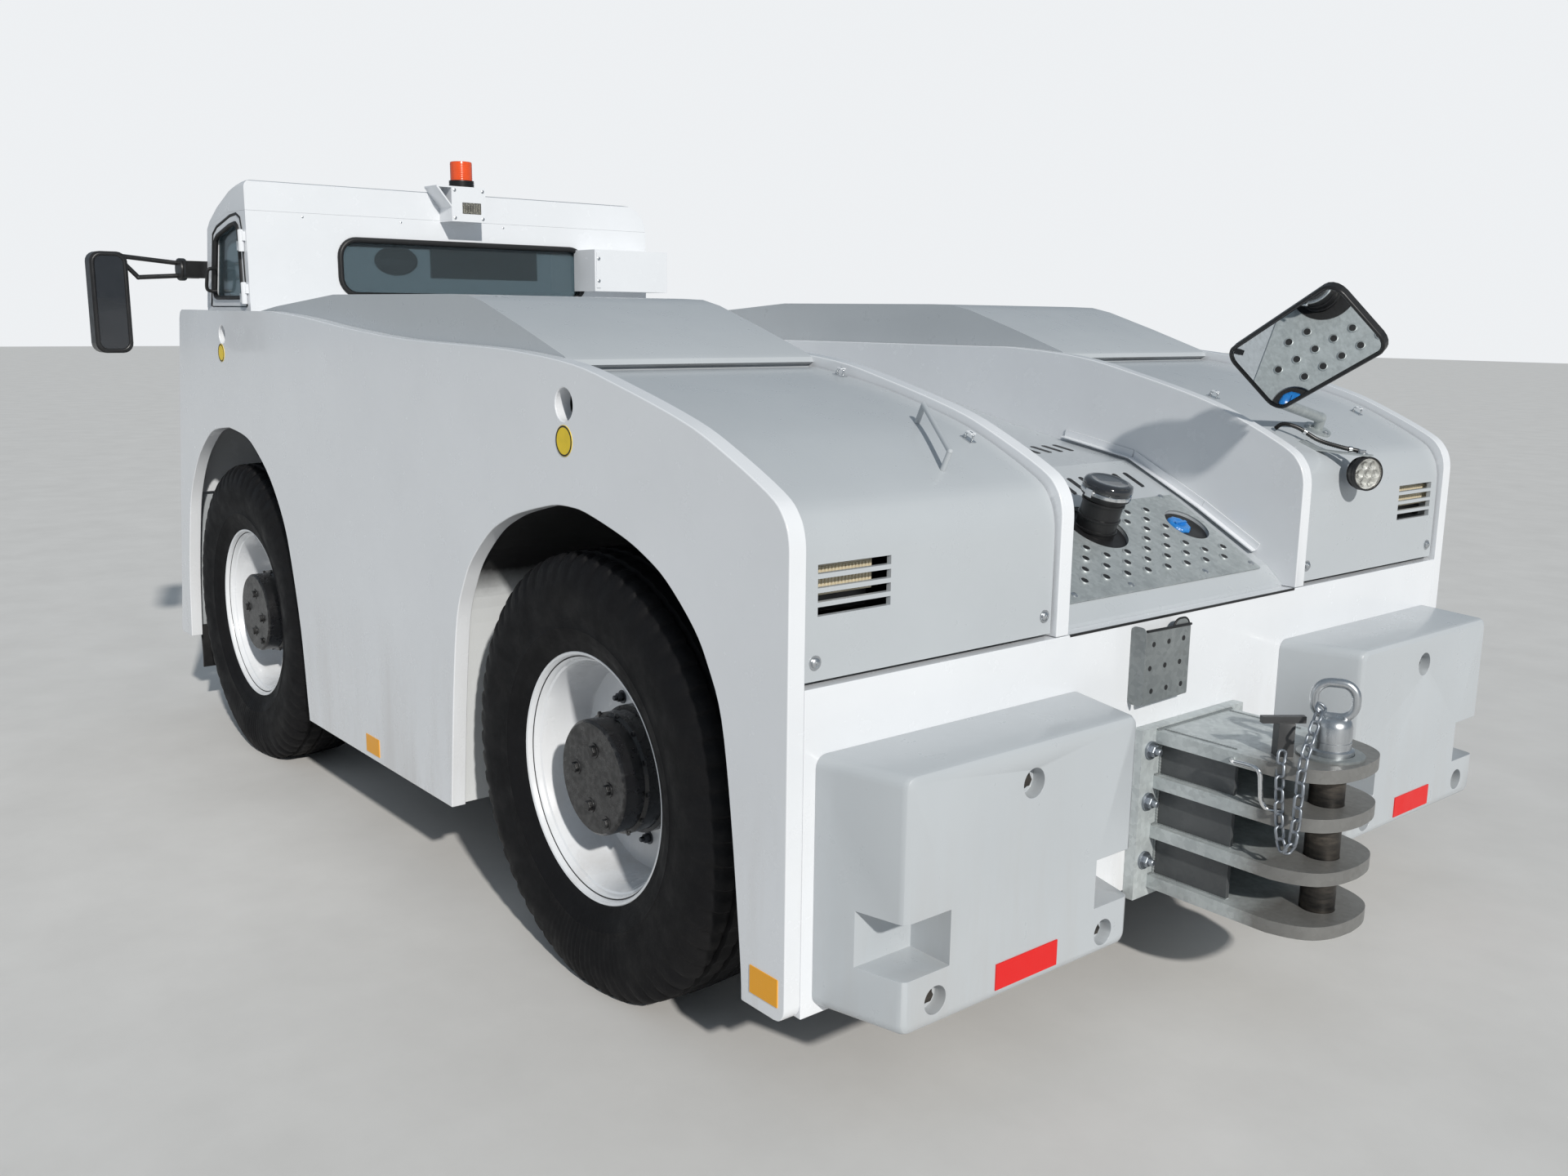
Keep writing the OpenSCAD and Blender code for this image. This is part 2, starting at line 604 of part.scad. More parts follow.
// Inner face of the hub drums, and the running gap to what carries them.
hub_depth = 120;
hub_back = rim_face - rim_width / 2 - hub_depth;
run = 0.3;
module axle_middle(half) {
    rotate([90, 0, 0]) cylinder(h = 2 * half, r = 75, center = true);
    rotate([90, 0, 0]) cylinder(h = 320, r = 180, center = true);
    for (s = [-1, 1]) side(s) box([-100, channel_half, 60], [100, bay_in, 700 - wheel_height]);
}
module axle_rear() {
    color(black) stored() translate([0, 0, wheel_height]) {
        axle_middle(hub_back - 43);
        for (s = [-1, 1]) side(s) translate([0, hub_back - 45, 0]) rotate([-90, 0, 0])
            cylinder(h = 45 - run, r = 130);
    }
}
// Fork ends of the front axle: heights of the two jaws, below and above the wheel centre.
jaws = [-120, 80];
fork = pivot_half - 162;
module axle_front() {
    color(black) stored() translate([wheelbase, 0, wheel_height]) {
        axle_middle(fork + 20);
        for (s = [-1, 1]) side(s) {
            for (z = jaws) {
                box([-70, fork, z], [70, pivot_half, z + 40]);
                translate([0, pivot_half, z]) cylinder(h = 40, r = 70);
            }
            box([-70, fork, -120], [70, fork + 40, 120]);
        }
    }
}
module knuckle() {
    translate([wheelbase, pivot_half, wheel_height]) {
        translate([0, 0, jaws[0] + 40 + run]) cylinder(h = jaws[1] - jaws[0] - 40 - 2 * run, r = 65);
        rotate([-90, 0, 0]) cylinder(h = hub_back - pivot_half - run, r = 72);
        box([-250, -30, -70], [0, 10, -40]);
    }
}
module knuckle_left() { color(black) stored() knuckle(); }
module knuckle_right() { color(black) stored() side(-1) knuckle(); }

// Wheel section: radius, distance outward from the rim's middle plane.
half_rim = rim_width / 2;
// Rim with its deep-set disc.
module wheel_shape() {
    rotate([-90, 0, 0]) difference() {
        rotate_extrude($fn = 40) polygon([[rim_diameter / 2, half_rim], [rim_diameter / 2 - 8, half_rim],
            [rim_diameter / 2 - 22, half_rim - 22], [rim_diameter / 2 - 34, half_rim - 26],
            [rim_diameter / 2 - 40, -40], [hub_radius + 35, -52], [hub_radius + 0.3, -52],
            [hub_radius + 0.3, -68], [hub_radius + 40, -68], [rim_diameter / 2 - 30, -60],
            [rim_diameter / 2 - 22, 22 - half_rim], [rim_diameter / 2 - 8, -half_rim],
                [rim_diameter / 2, -half_rim],
            [rim_diameter / 2 - 2, 14 - half_rim], [rim_diameter / 2 - 12, 30 - half_rim],
            [rim_diameter / 2 - 12, half_rim - 34], [rim_diameter / 2 - 2, half_rim - 14]]);
    }
}
// Planetary hub drum: radius, distance outward from the rim's middle plane.
hub_steps = [[0, -hub_depth], [hub_radius, -hub_depth], [hub_radius, -10], [hub_radius - 8, -4],
    [hub_radius - 8, 40],
    [hub_radius - 16, 46], [hub_radius - 16, 95], [hub_radius - 22, 101], [0, 101]];
module hub_shape() {
    rotate([-90, 0, 0]) {
        rotate_extrude($fn = 40) polygon(hub_steps);
        rotate_extrude($fn = 40) polygon([[hub_radius - 1, -80], [hub_radius + 55, -80],
            [hub_radius + 55, -68.3],
            [hub_radius - 1, -68.3]]);
    }
}
module tyre_shape() {
    r = tyre_radius;
    w = tyre_width / 2;
    b = rim_diameter / 2;
    difference() {
        rotate([-90, 0, 0]) rotate_extrude($fn = 40) polygon([[b - 11.7, half_rim - 34.5],
            [b - 1.7, half_rim - 14],
            [b + 0.5, half_rim + 2], [b + 14, half_rim + 6], [b + 60, w - 8], [r - 95, w], [r - 40, w - 8],
            [r - 10, w - 28], [r, w - 60], [r, 60 - w], [r - 10, 28 - w], [r - 40, 8 - w], [r - 95, -w],
            [b + 60, 8 - w], [b + 14, -half_rim - 6], [b + 0.5, -half_rim - 2], [b - 1.7, 14 - half_rim],
            [b - 11.7, 30.5 - half_rim]]);
        box([-400, -300, -600], [400, 300, -wheel_height]);
    }
}
// Wheel places: distance ahead of the rear axle, side.
module at_wheel(x, s) { side(s) translate([x, rim_face - half_rim, wheel_height]) children(); }
module wheel_fl() { color(white) stored() at_wheel(wheelbase, 1) wheel_shape(); }
module wheel_fr() { color(white) stored() at_wheel(wheelbase, -1) wheel_shape(); }
module wheel_rl() { color(white) stored() at_wheel(0, 1) wheel_shape(); }
module wheel_rr() { color(white) stored() at_wheel(0, -1) wheel_shape(); }
module hub_fl() { color(black) stored() at_wheel(wheelbase, 1) hub_shape(); }
module hub_fr() { color(black) stored() at_wheel(wheelbase, -1) hub_shape(); }
module hub_rl() { color(black) stored() at_wheel(0, 1) hub_shape(); }
module hub_rr() { color(black) stored() at_wheel(0, -1) hub_shape(); }
module tyre_fl() { color(black) stored() at_wheel(wheelbase, 1) tyre_shape(); }
module tyre_fr() { color(black) stored() at_wheel(wheelbase, -1) tyre_shape(); }
module tyre_rl() { color(black) stored() at_wheel(0, 1) tyre_shape(); }
module tyre_rr() { color(black) stored() at_wheel(0, -1) tyre_shape(); }

// Side outlines of the cab: distance ahead of the rear axle, height.
seam = [[cab_rear, eave], [cab_rear + 180, eave], [cab_front - 52, eave - 46]];
roof_top = [[cab_rear, cab_top - 4], [cab_rear + 12, cab_top], [cab_rear + 150, cab_top - 30],
    [cab_front - 170, cab_top - 75], [cab_front - 80, eave - 22], [cab_front - 52, eave - 46]];
door_line = [[cab_rear + 36, sill + 4], [cab_rear + 46, eave - 58], [cab_rear + 56, eave - 26],
    [cab_rear + 90, eave - 12], [cab_rear + 150, eave - 16], [cab_front - 160, eave - 46],
    [cab_front - 116, eave - 68], [cab_front - 56, sill + 4]];
// Rounded rectangle: low and high along the first axis, low and high along the second, corner radius.
function arc(x, y, r, a0, a1, n) = [for (i = [0:n]) let (a = a0 + (a1 - a0) * i / n)
    [x + r * cos(a), y + r * sin(a)]];
function rounded(x0, x1, z0, z1, r) = concat(arc(x1 - r, z1 - r, r, 0, 90, 5),
    arc(x0 + r, z1 - r, r, 90, 180, 5),
    arc(x0 + r, z0 + r, r, 180, 270, 5), arc(x1 - r, z0 + r, r, 270, 360, 5));
// Draws a Y-Z outline as a slab between two places along X.
module facing(x0, x1) { translate([x0, 0, 0]) rotate([90, 0, 90]) linear_extrude(x1 - x0) children(); }
rear_window = [cab_right + 290, cab_left - 314, sill + 47, eave - 80, 60];
screen = [cab_right + 60, cab_left - 60, sill + 25, eave - 72, 50];
side_window = [cab_rear + 65, cab_front - 110, sill + 35, eave - 68, 40];
module window_shape(w, d) { polygon(rounded(w[0] - d, w[1] + d, w[2] - d, w[3] + d, w[4] + d)); }

module cab_shell() {
    color(white) stored() {
        difference() {
            slab(cab_right, cab_left) polygon(concat(seam, [[cab_front, sill], [cab_rear, sill]]));
            slab(cab_right + cab_wall, cab_left - cab_wall) polygon([[cab_rear + cab_wall, eave + 42],
                [cab_rear + 180, eave + 42], [cab_front - 52 - cab_wall, eave - 28],
                [cab_front - cab_wall, sill - 45], [cab_rear + cab_wall, sill - 45]]);
            facing(cab_rear - 10, cab_rear + cab_wall + 10) window_shape(rear_window, 0);
            facing(cab_front - 120, cab_front + 20) window_shape(screen, 0);
            slab(cab_left - cab_wall - 5, cab_left + 5)
                polygon(concat([[door_line[7][0] + 5, sill]], inward(flip(door_line), -4),
                    [[door_line[0][0] - 4, sill]]));
            slab(cab_right - 5, cab_right + cab_wall + 5) window_shape(side_window, 0);
        }
        // Tub between the inner plates, and the shelf over the left front wheel.
        difference() {
            box([cab_rear, cab_right, cab_floor], [cab_front - 2, channel_half - 2, sill]);
            box([cab_rear + cab_wall, cab_right + cab_wall, cab_floor + cab_wall],
                [cab_front - cab_wall, channel_half - cab_wall, sill + 55]);
            box([cab_rear + cab_wall, channel_half - 60, sill - 55],
                [cab_front - cab_wall, channel_half + 5, sill + 55]);
        }
        difference() {
            box([cab_rear, channel_half - 2, sill - 85], [cab_front - 2, cab_left, sill]);
            box([cab_rear + cab_wall, channel_half - 40, sill - 85 + cab_wall],
                [cab_front - cab_wall, cab_left - cab_wall, sill + 55]);
        }
        // Dash under the steering column.
        slab(-100, 260) polygon([[cab_front - cab_wall + 1, 1150], [cab_front - 99.9, 1309.5],
            [cab_front - 42.4, 1409],
            [cab_front - cab_wall + 1, 1409]]);
        // Box at the right rear corner.
        box([cab_rear - 150, cab_right, sill + 77], [cab_rear + 1, cab_right + 330, eave - 82]);
        // Fixed door hinge barrels on the rear pillar.
        for (z = door_hinges) {
            translate([door_x, door_y, z + 0.3]) cylinder(h = 30, r = 8);
            box([door_x - 14, cab_left - 4, z + 0.3], [door_x + 2, door_y, z + 30]);
        }
    }
}
door_x = cab_rear + 26;
door_y = cab_left + 10;
door_hinges = [sill + 45, eave - 98];
// The roof, drawn to a distance inside its outer skin; a large round at the right, a small one at the left.
module roof_block(d) {
    intersection() {
        slab(cab_right + d, cab_left - d) polygon(concat(d > 0 ? inward(roof_top, -d) : roof_top,
            [[seam[2][0] - d, seam[2][1] - 5 * d], [seam[1][0], seam[1][1] - 5 * d],
                [seam[0][0] + d, seam[0][1] - 5 * d]]));
        facing(cab_rear - 10, cab_front + 10) polygon(concat(
            arc(cab_left - 24, cab_top - d - 24, 24 - d, 0, 90, 4),
            arc(cab_right + 104, cab_top - d - 104, 104 - d, 90, 180, 8),
                [[cab_right + d, 1700], [cab_left - d, 1700]]));
    }
}
module cab_roof() {
    color(white) stored() translate([0, 0, 0.3]) difference() {
        roof_block(0);
        roof_block(sheet);
    }
}
module door_frame(d) {
    if (d == 0) polygon(door_line);
    else intersection() {
        polygon(inward(flip(door_line), d));
        translate([cab_rear - 50, sill + 4 + d]) square([cab_length + 150, 400]);
    }
}
module cab_door() {
    color(white) stored() {
        difference() {
            slab(cab_left - 26, cab_left) door_frame(0);
            slab(cab_left - 50, cab_left + 10) door_frame(26);
        }
        for (z = door_hinges) {
            translate([door_x, door_y, z - 30]) cylinder(h = 30, r = 8);
            box([door_x, cab_left, z - 30], [door_x + 40, door_y + 2, z]);
            box([door_x + 16, cab_left - 12, z - 30], [door_x + 34, cab_left + 1, z]);
        }
    }
}
module door_glass() {
    color([0.3, 0.4, 0.45, 0.4]) stored() slab(cab_left - 16, cab_left - 11) door_frame(26);
}
module cab_glass() {
    color([0.3, 0.4, 0.45, 0.4]) stored() {
        facing(cab_rear + 12, cab_rear + 17) window_shape(rear_window, -0.2);
        slab(cab_right + 12, cab_right + 17) window_shape(side_window, -0.2);
        intersection() {
            facing(cab_front - 120, cab_front + 20) window_shape(screen, -0.2);
            slab(cab_right, cab_left) polygon([[cab_front - 15, sill], [cab_front - 20, sill],
                [cab_front - 72, eave - 46], [cab_front - 67, eave - 46]]);
        }
    }
}
module seat() {
    color(black) stored() {
        box([cab_rear + 60, -100, cab_floor + cab_wall], [cab_rear + 360, 260, 1060]);
        slab(-140, 300) polygon(curve([[cab_rear + 40, 1060], [cab_rear + 38, 1180], [cab_rear + 50, 1400],
            [cab_rear + 70, 1550], [cab_rear + 105, 1570], [cab_rear + 132, 1530], [cab_rear + 130, 1380],
            [cab_rear + 150, 1230], [cab_rear + 200, 1190], [cab_rear + 340, 1186], [cab_rear + 385, 1150],
            [cab_rear + 380, 1080], [cab_rear + 330, 1060]], 2));
    }
}
module steering_wheel() {
    color(black) stored() {
        translate([cab_front - 140, 80, 1440]) rotate([0, -60, 0]) {
            rotate_extrude() translate([150, 0]) circle(r = 11, $fn = 16);
            cylinder(h = 30, r = 36, center = true);
            for (a = [0, 120, 240]) rotate([0, 0, a]) box([0, -12, -6], [148, 12, 6]);
            translate([0, 0, -99.7]) cylinder(h = 99.7, r = 20);
        }
    }
}
// Stand of the beacon on the cab's rear wall: across, foot and top.
stand_y = [320, 452];
stand_z = [1853, 1973];
stand_x = cab_rear - 98;
module beacon_stand() {
    color(white) stored() {
        difference() {
            box([stand_x, stand_y[0], stand_z[0]], [cab_rear, stand_y[1], stand_z[1]]);
            box([stand_x + 5, stand_y[0] + 5, stand_z[0] + 5],
                [cab_rear + 1, stand_y[1] - 5, stand_z[1] - 5]);
            box([stand_x - 1, 338, 1880], [stand_x + 6, 411, 1919]);
        }
        facing(stand_x, cab_rear) polygon([[stand_y[1] - 1, 1900], [stand_y[1] + 55, stand_z[1] - 5],
            [stand_y[1] + 55, stand_z[1]], [stand_y[1] - 1, stand_z[1]], [stand_y[1] - 1, stand_z[1] - 5],
            [stand_y[1] + 47, stand_z[1] - 5], [stand_y[1] - 1, 1907]]);
    }
}
module beacon() {
    color([0.9, 0.4, 0.05]) stored() translate([cab_rear - 54, 390, stand_z[1] + seat_gap]) rotate_extrude()
        polygon([[0, 0], [44, 0], [44, 18], [39, 18], [38, 50], [35, 68], [28, 80], [16, 86], [0, 88]]);
}
// Lamps at the rear: one in the stand, and one behind each lid's louvres.
module rear_lamps() {
    color([0.9, 0.85, 0.75]) stored() {
        box([stand_x + 0.3, 338.3, 1880.3], [stand_x + 30, 410.7, 1918.7]);
        box([stand_x + 30, 360, 1890], [cab_rear, 390, 1910]);
        for (s = [-1, 1]) side(s)
            box([41 - tail_reach, bay_out - 195, 1036], [76 - tail_reach, bay_out, 1092]);
    }
}
mirror_x = cab_front + 60;
// Outer face of the windscreen wall at a height.
function screen_x(z) = cab_front - 52 * (z - sill) / (eave - 46 - sill);
// Left mirror: its inner edge, foot and top.
mirror_in = mirror_reach - 121;
mirror_z = [1385, 1728];
module mirror_left() {
    root_z = [1646, 1703];
    color(black) stored() {
        facing(mirror_x - 30, mirror_x + 30)
            polygon(rounded(mirror_in, mirror_reach, mirror_z[0], mirror_z[1], 34));
        slab(cab_left - 51, cab_left + 74) polygon([[screen_x(root_z[0]), root_z[0]],
            [mirror_x + 22, root_z[0]],
            [mirror_x + 22, root_z[1]], [screen_x(root_z[1]), root_z[1]]]);
        rod([mirror_x, cab_left + 60, root_z[1] - 8], [mirror_x, mirror_in + 10, mirror_z[1] - 14], 8);
        rod([mirror_x, cab_left + 60, root_z[0] + 8], [mirror_x, mirror_in - 40, root_z[0] - 2], 8);
        rod([mirror_x, mirror_in - 40, root_z[0] - 2], [mirror_x, mirror_in + 10, root_z[1] - 6], 8);
    }
}
module head_lamps() {
    color([0.9, 0.9, 0.85]) stored() for (s = [-1, 1], p = lamp_places)
        translate([weight_face - 59.7, s * p[0], p[1]]) rotate([0, 90, 0]) cylinder(h = 55, r = p[2] - 0.3);
}

chassis();
side_plate_left();
side_plate_right();
inner_plates();
rear_plate();
front_fascia();
front_weight();
front_hitch();
front_pin();
channel_floor();
tread_plate();
tank();
filler_black();
filler_blue();
hood_left();
hood_right();
hood_handle();
lid_brackets();
hitch_mirror();
work_lamp();
hump_left();
hump_right();
rear_weights();
bracket();
rear_hitch();
rear_pin();
arches_left();
arches_right();
engine();
axle_front();
axle_rear();
knuckle_left();
knuckle_right();
wheel_fl();
wheel_fr();
wheel_rl();
wheel_rr();
hub_fl();
hub_fr();
hub_rl();
hub_rr();
tyre_fl();
tyre_fr();
tyre_rl();
tyre_rr();
cab_shell();
cab_roof();
cab_door();
door_glass();
cab_glass();
seat();
steering_wheel();
beacon_stand();
beacon();
rear_lamps();
head_lamps();
mirror_left();
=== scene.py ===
import json
import math
import random

import bmesh
import bpy
from mathutils import Matrix, Vector
from mathutils.bvhtree import BVHTree


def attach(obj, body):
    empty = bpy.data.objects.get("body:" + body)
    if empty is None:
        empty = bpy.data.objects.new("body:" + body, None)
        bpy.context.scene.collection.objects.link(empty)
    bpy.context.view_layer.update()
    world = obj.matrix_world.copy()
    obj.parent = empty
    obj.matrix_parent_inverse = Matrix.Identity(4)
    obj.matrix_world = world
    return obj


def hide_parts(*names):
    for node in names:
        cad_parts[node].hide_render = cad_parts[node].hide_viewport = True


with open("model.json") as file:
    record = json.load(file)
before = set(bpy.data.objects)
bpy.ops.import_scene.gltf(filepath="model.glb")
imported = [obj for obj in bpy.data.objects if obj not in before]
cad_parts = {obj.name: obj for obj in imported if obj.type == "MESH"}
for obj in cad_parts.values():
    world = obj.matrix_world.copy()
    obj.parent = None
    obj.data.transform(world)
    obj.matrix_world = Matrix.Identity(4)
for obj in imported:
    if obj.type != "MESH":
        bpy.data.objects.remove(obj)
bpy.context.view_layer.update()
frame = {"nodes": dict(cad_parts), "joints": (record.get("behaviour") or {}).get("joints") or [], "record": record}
nodes = frame["nodes"]
record = frame["record"]
scene = bpy.context.scene
random.seed(7)

slot_of = {s["node"]: s["material_slot"] for s in record["subparts"]}
body_of = {n: b for b, names in record["behaviour"]["bodies"].items() for n in names}
spin = {j["name"]: Vector(j["pos_m"]) for j in frame["joints"] if "pos_m" in j}

# The rear axle's middle on the ground. Places below are metres ahead of it, to its left and up.
REAR_AXLE = Vector((spin["spin_rl"].x, (spin["spin_rl"].y + spin["spin_rr"].y) / 2, 0))

# Camera, at the photograph's place: turned about the vertical, tilted up from straight down, then rolled
cam = bpy.data.objects.new("camera", bpy.data.cameras.new("camera"))
cam.data.sensor_width = 36
cam.data.lens = 31.72
stand = Matrix.Translation((-3.597, 2.593, 1.534))
for angle, axis in ((-129.486, "Z"), (78.904, "X"), (0.676, "Z")):
    stand = stand @ Matrix.Rotation(math.radians(angle), 4, axis)
cam.matrix_world = stand
scene.collection.objects.link(cam)
scene.camera = cam
scene.view_settings.view_transform = "Standard"


# Materials, by name
M = {}


class Nodes:
    """Short calls for building one material's nodes."""

    def __init__(self, name):
        self.name = name
        self.mat = bpy.data.materials.new(name)
        self.mat.use_nodes = True
        self.tree = self.mat.node_tree
        self.bsdf = self.tree.nodes["Principled BSDF"]
        self.coords = self.tree.nodes.new("ShaderNodeTexCoord")

    def add(self, kind, inputs=None, **settings):
        n = self.tree.nodes.new(kind)
        for k, v in settings.items():
            setattr(n, k, v)
        for k, v in (inputs or {}).items():
            self.put(n.inputs[k], v)
        return n

    def put(self, socket, value):
        if isinstance(value, bpy.types.NodeSocket):
            self.tree.links.new(value, socket)
        elif socket.type == "RGBA":
            socket.default_value = (*value, 1)
        else:
            socket.default_value = value

    def space(self, scale=(1, 1, 1)):
        return self.add("ShaderNodeMapping", {"Vector": self.coords.outputs["Object"],
            "Scale": scale}).outputs[0]

    def noise(self, scale, detail, rough=0.55, stretch=(1, 1, 1)):
        inputs = {"Vector": self.space(stretch), "Scale": scale, "Detail": detail, "Roughness": rough}
        return self.add("ShaderNodeTexNoise", inputs).outputs["Fac"]

    def ramp(self, fac, stops):
        n = self.add("ShaderNodeValToRGB", {"Fac": fac})
        while len(n.color_ramp.elements) < len(stops):
            n.color_ramp.elements.new(0.5)
        for e, (place, colour) in zip(n.color_ramp.elements, stops):
            e.position = place
            e.color = (*colour, 1)
        return n.outputs["Color"]

    def grade(self, fac, lo, hi, a=0, b=1):
        inputs = {"Value": fac, "From Min": lo, "From Max": hi, "To Min": a, "To Max": b}
        return self.add("ShaderNodeMapRange", inputs).outputs[0]

    def math(self, op, a, b=0.0):
        n = self.add("ShaderNodeMath", operation=op)
        self.put(n.inputs[0], a)
        self.put(n.inputs[1], b)
        return n.outputs[0]

    def times(self, a, b):
        return self.math("MULTIPLY", a, b)

    def mix(self, fac, a, b):
        n = self.add("ShaderNodeMix", data_type="RGBA")
        for k, v in ((0, fac), (6, a), (7, b)):
            self.put(n.inputs[k], v)
        return n.outputs[2]

    def split(self, output="Object"):
        return self.add("ShaderNodeSeparateXYZ", {"Vector": self.coords.outputs[output]}).outputs

    def edges(self, lo, hi):
        """Runs from 0 on flat faces to 1 on outer corners."""
        point = self.add("ShaderNodeNewGeometry").outputs["Pointiness"]
        return self.grade(point, lo, hi)

    def bump(self, height, strength, distance, under=None):
        n = self.add("ShaderNodeBump", {"Height": height, "Strength": strength, "Distance": distance})
        if under is not None:
            self.put(n.inputs["Normal"], under)
        return n.outputs[0]

    def end(self, colour, rough, normal, **others):
        """Sets the surface's inputs and keeps the material under its name."""
        values = {"Base Color": colour, "Roughness": rough, "Normal": normal}
        values.update((k.replace("_", " "), v) for k, v in others.items())
        for k, v in values.items():
            self.put(self.bsdf.inputs[k], v)
        M[self.name] = self.mat


# Colour of road dust
DUST = (0.36, 0.3, 0.24)
# Heights of the hitch tongues' upper faces
TONGUES = (0.618, 0.51, 0.39, 0.268)


def paint(name, colour, gloss=0.22, dust=0.35, coat=0.4):
    """Sprayed paint: faint cloudiness, orange peel, runs of road dust that thicken towards the ground."""
    n = Nodes(name)
    cloud = n.noise(2.2, 5, 0.6)
    base = n.mix(n.grade(cloud, 0.35, 0.7), tuple(c * 0.95 for c in colour), colour)
    streak = n.noise(9, 6, 0.65, stretch=(1, 1, 0.12))
    low = n.grade(n.split()["Z"], 0.2, 0.75, 1, 0)
    runs = n.times(low, n.grade(streak, 0.45, 0.75))
    specks = n.times(n.grade(n.noise(75, 6, 0.75), 0.66, 0.74, 0, 0.5), n.grade(streak, 0.4, 0.6, 0.3, 1))
    grime = n.math("ADD", n.times(runs, dust), n.times(specks, 0.22))
    mixed = n.mix(grime, base, DUST)
    gloss_map = n.grade(n.noise(14, 5, 0.6), 0.3, 0.7, gloss - 0.05, gloss + 0.08)
    rough = n.math("ADD", gloss_map, n.times(grime, 0.6))
    wavy = n.bump(n.noise(7, 2, 0.4), 0.05, 0.004)
    n.end(mixed, rough, n.bump(n.noise(420, 2, 0.5), 0.1, 0.0006, wavy), Coat_Weight=coat,
        Coat_Roughness=0.1)


def galvanised(name, light=1.0, rust=0.25, hitch=False):
    """Hot-dip zinc: soft spangle, dull in places, with rust spots; the hitch is worn dark about its pin and has
    painted shade on the web between its tongues.
    """
    n = Nodes(name)
    cells = n.add("ShaderNodeTexVoronoi", {"Vector": n.space(), "Scale": 90.0,
        "Randomness": 1.0}).outputs["Color"]
    spangle = n.add("ShaderNodeSeparateColor", {"Color": cells}).outputs[0]
    tone = n.math("ADD", n.times(spangle, 0.22), n.times(n.noise(6, 6, 0.6), 0.78))
    dark, mid, pale = (tuple(c * light for c in v) for v in ((0.35, 0.38, 0.39), (0.44, 0.475, 0.48),
        (0.54, 0.575, 0.58)))
    base = n.ramp(tone, [(0.25, dark), (0.5, mid), (0.75, pale)])
    stain = n.grade(n.noise(13, 8, 0.75), 0.64, 0.72, 0, rust)
    base = n.mix(stain, base, (0.16, 0.085, 0.045))
    base = n.mix(n.grade(n.noise(5, 6, 0.7, stretch=(1, 1, 0.5)), 0.56, 0.75, 0, 0.3), base,
        (0.15, 0.145, 0.14))
    if hitch:
        # Painted shade on the web between the tongues, where the tongues above cast their shadow
        place = n.split()
        facing = n.split("Normal")["Z"]
        upright = n.math("LESS_THAN", n.math("ABSOLUTE", facing), 0.5)
        between = n.math("LESS_THAN", n.math("ABSOLUTE", place["Y"]), 0.131)
        outside = n.math("LESS_THAN", place["X"], REAR_AXLE.x - 0.792)
        web = n.times(n.times(upright, between), outside)
        for top in TONGUES:
            in_plate = n.math("LESS_THAN", n.math("ABSOLUTE", n.math("SUBTRACT", place["Z"], top - 0.015)),
                0.0165)
            web = n.times(web, n.math("SUBTRACT", 1.0, in_plate))
        base = n.mix(n.times(web, 0.9), base, (0.05, 0.052, 0.056))
        # Rubbed brown towards the tip, and dark on what stands above the top tongue there
        tip = n.grade(n.math("ADD", place["X"], n.times(n.noise(16, 6, 0.7), 0.09)),
            REAR_AXLE.x - 1.03, REAR_AXLE.x - 0.95, 0.78, 0)
        base = n.mix(tip, base, (0.125, 0.112, 0.1))
        high = n.times(n.math("GREATER_THAN", place["Z"], 0.6185),
            n.math("LESS_THAN", place["X"], REAR_AXLE.x - 0.95))
        base = n.mix(n.times(high, 0.9), base, (0.05, 0.052, 0.055))
    rough = n.grade(tone, 0.2, 0.8, 0.52, 0.38)
    n.end(base, rough, n.bump(n.noise(120, 4, 0.6), 0.14, 0.0008), Metallic=0.25 if hitch else 0.5)


def worn_black(name, colour=(0.018, 0.018, 0.02), rough=0.4, dust=0.4, lumps=0.2):
    """Black paint over steel, dusty where dirt settles, grey where corners are rubbed."""
    n = Nodes(name)
    d = n.grade(n.noise(7, 7, 0.68), 0.48, 0.75, 0, dust)
    base = n.mix(d, colour, (0.1, 0.09, 0.078))
    base = n.mix(n.times(n.edges(0.53, 0.6), n.grade(n.noise(60, 4), 0.4, 0.6, 0, 0.5)), base,
        (0.2, 0.2, 0.2))
    rough_map = n.grade(n.noise(20, 4, 0.6), 0.3, 0.7, rough - 0.06, rough + 0.14)
    n.end(base, rough_map, n.bump(n.noise(160, 4, 0.6), lumps, 0.0008))


def rubber(name):
    """Worn tyre rubber: brown dust in patches, paler scuffs in streaks, fine cracks."""
    n = Nodes(name)
    patches = n.grade(n.noise(4.5, 8, 0.72), 0.5, 0.76, 0, 0.25)
    base = n.mix(patches, (0.004, 0.004, 0.005), (0.022, 0.02, 0.018))
    scuffs = n.grade(n.noise(38, 8, 0.8), 0.62, 0.74, 0, 0.22)
    base = n.mix(scuffs, base, (0.04, 0.037, 0.034))
    cracks = n.add("ShaderNodeTexVoronoi", {"Vector": n.space(), "Scale": 160.0},
        feature="DISTANCE_TO_EDGE")
    fine = n.bump(n.grade(cracks.outputs["Distance"], 0, 0.12), 0.12, 0.0006)
    rough = n.grade(n.noise(16, 5, 0.6), 0.3, 0.7, 0.55, 0.82)
    n.end(base, rough, n.bump(n.noise(240, 5, 0.7), 0.3, 0.001, fine), Specular_IOR_Level=0.22)


def plastic(name, colour, rough, grain=0.25, **others):
    """Moulded plastic with a fine grain."""
    n = Nodes(name)
    tone = n.mix(n.grade(n.noise(12, 5, 0.6), 0.35, 0.7), tuple(v * 0.82 for v in colour), colour)
    rough_map = n.grade(n.noise(30, 3, 0.5), 0.3, 0.7, rough - 0.06, rough + 0.08)
    n.end(tone, rough_map, n.bump(n.noise(500, 2, 0.5), grain, 0.0004), **others)


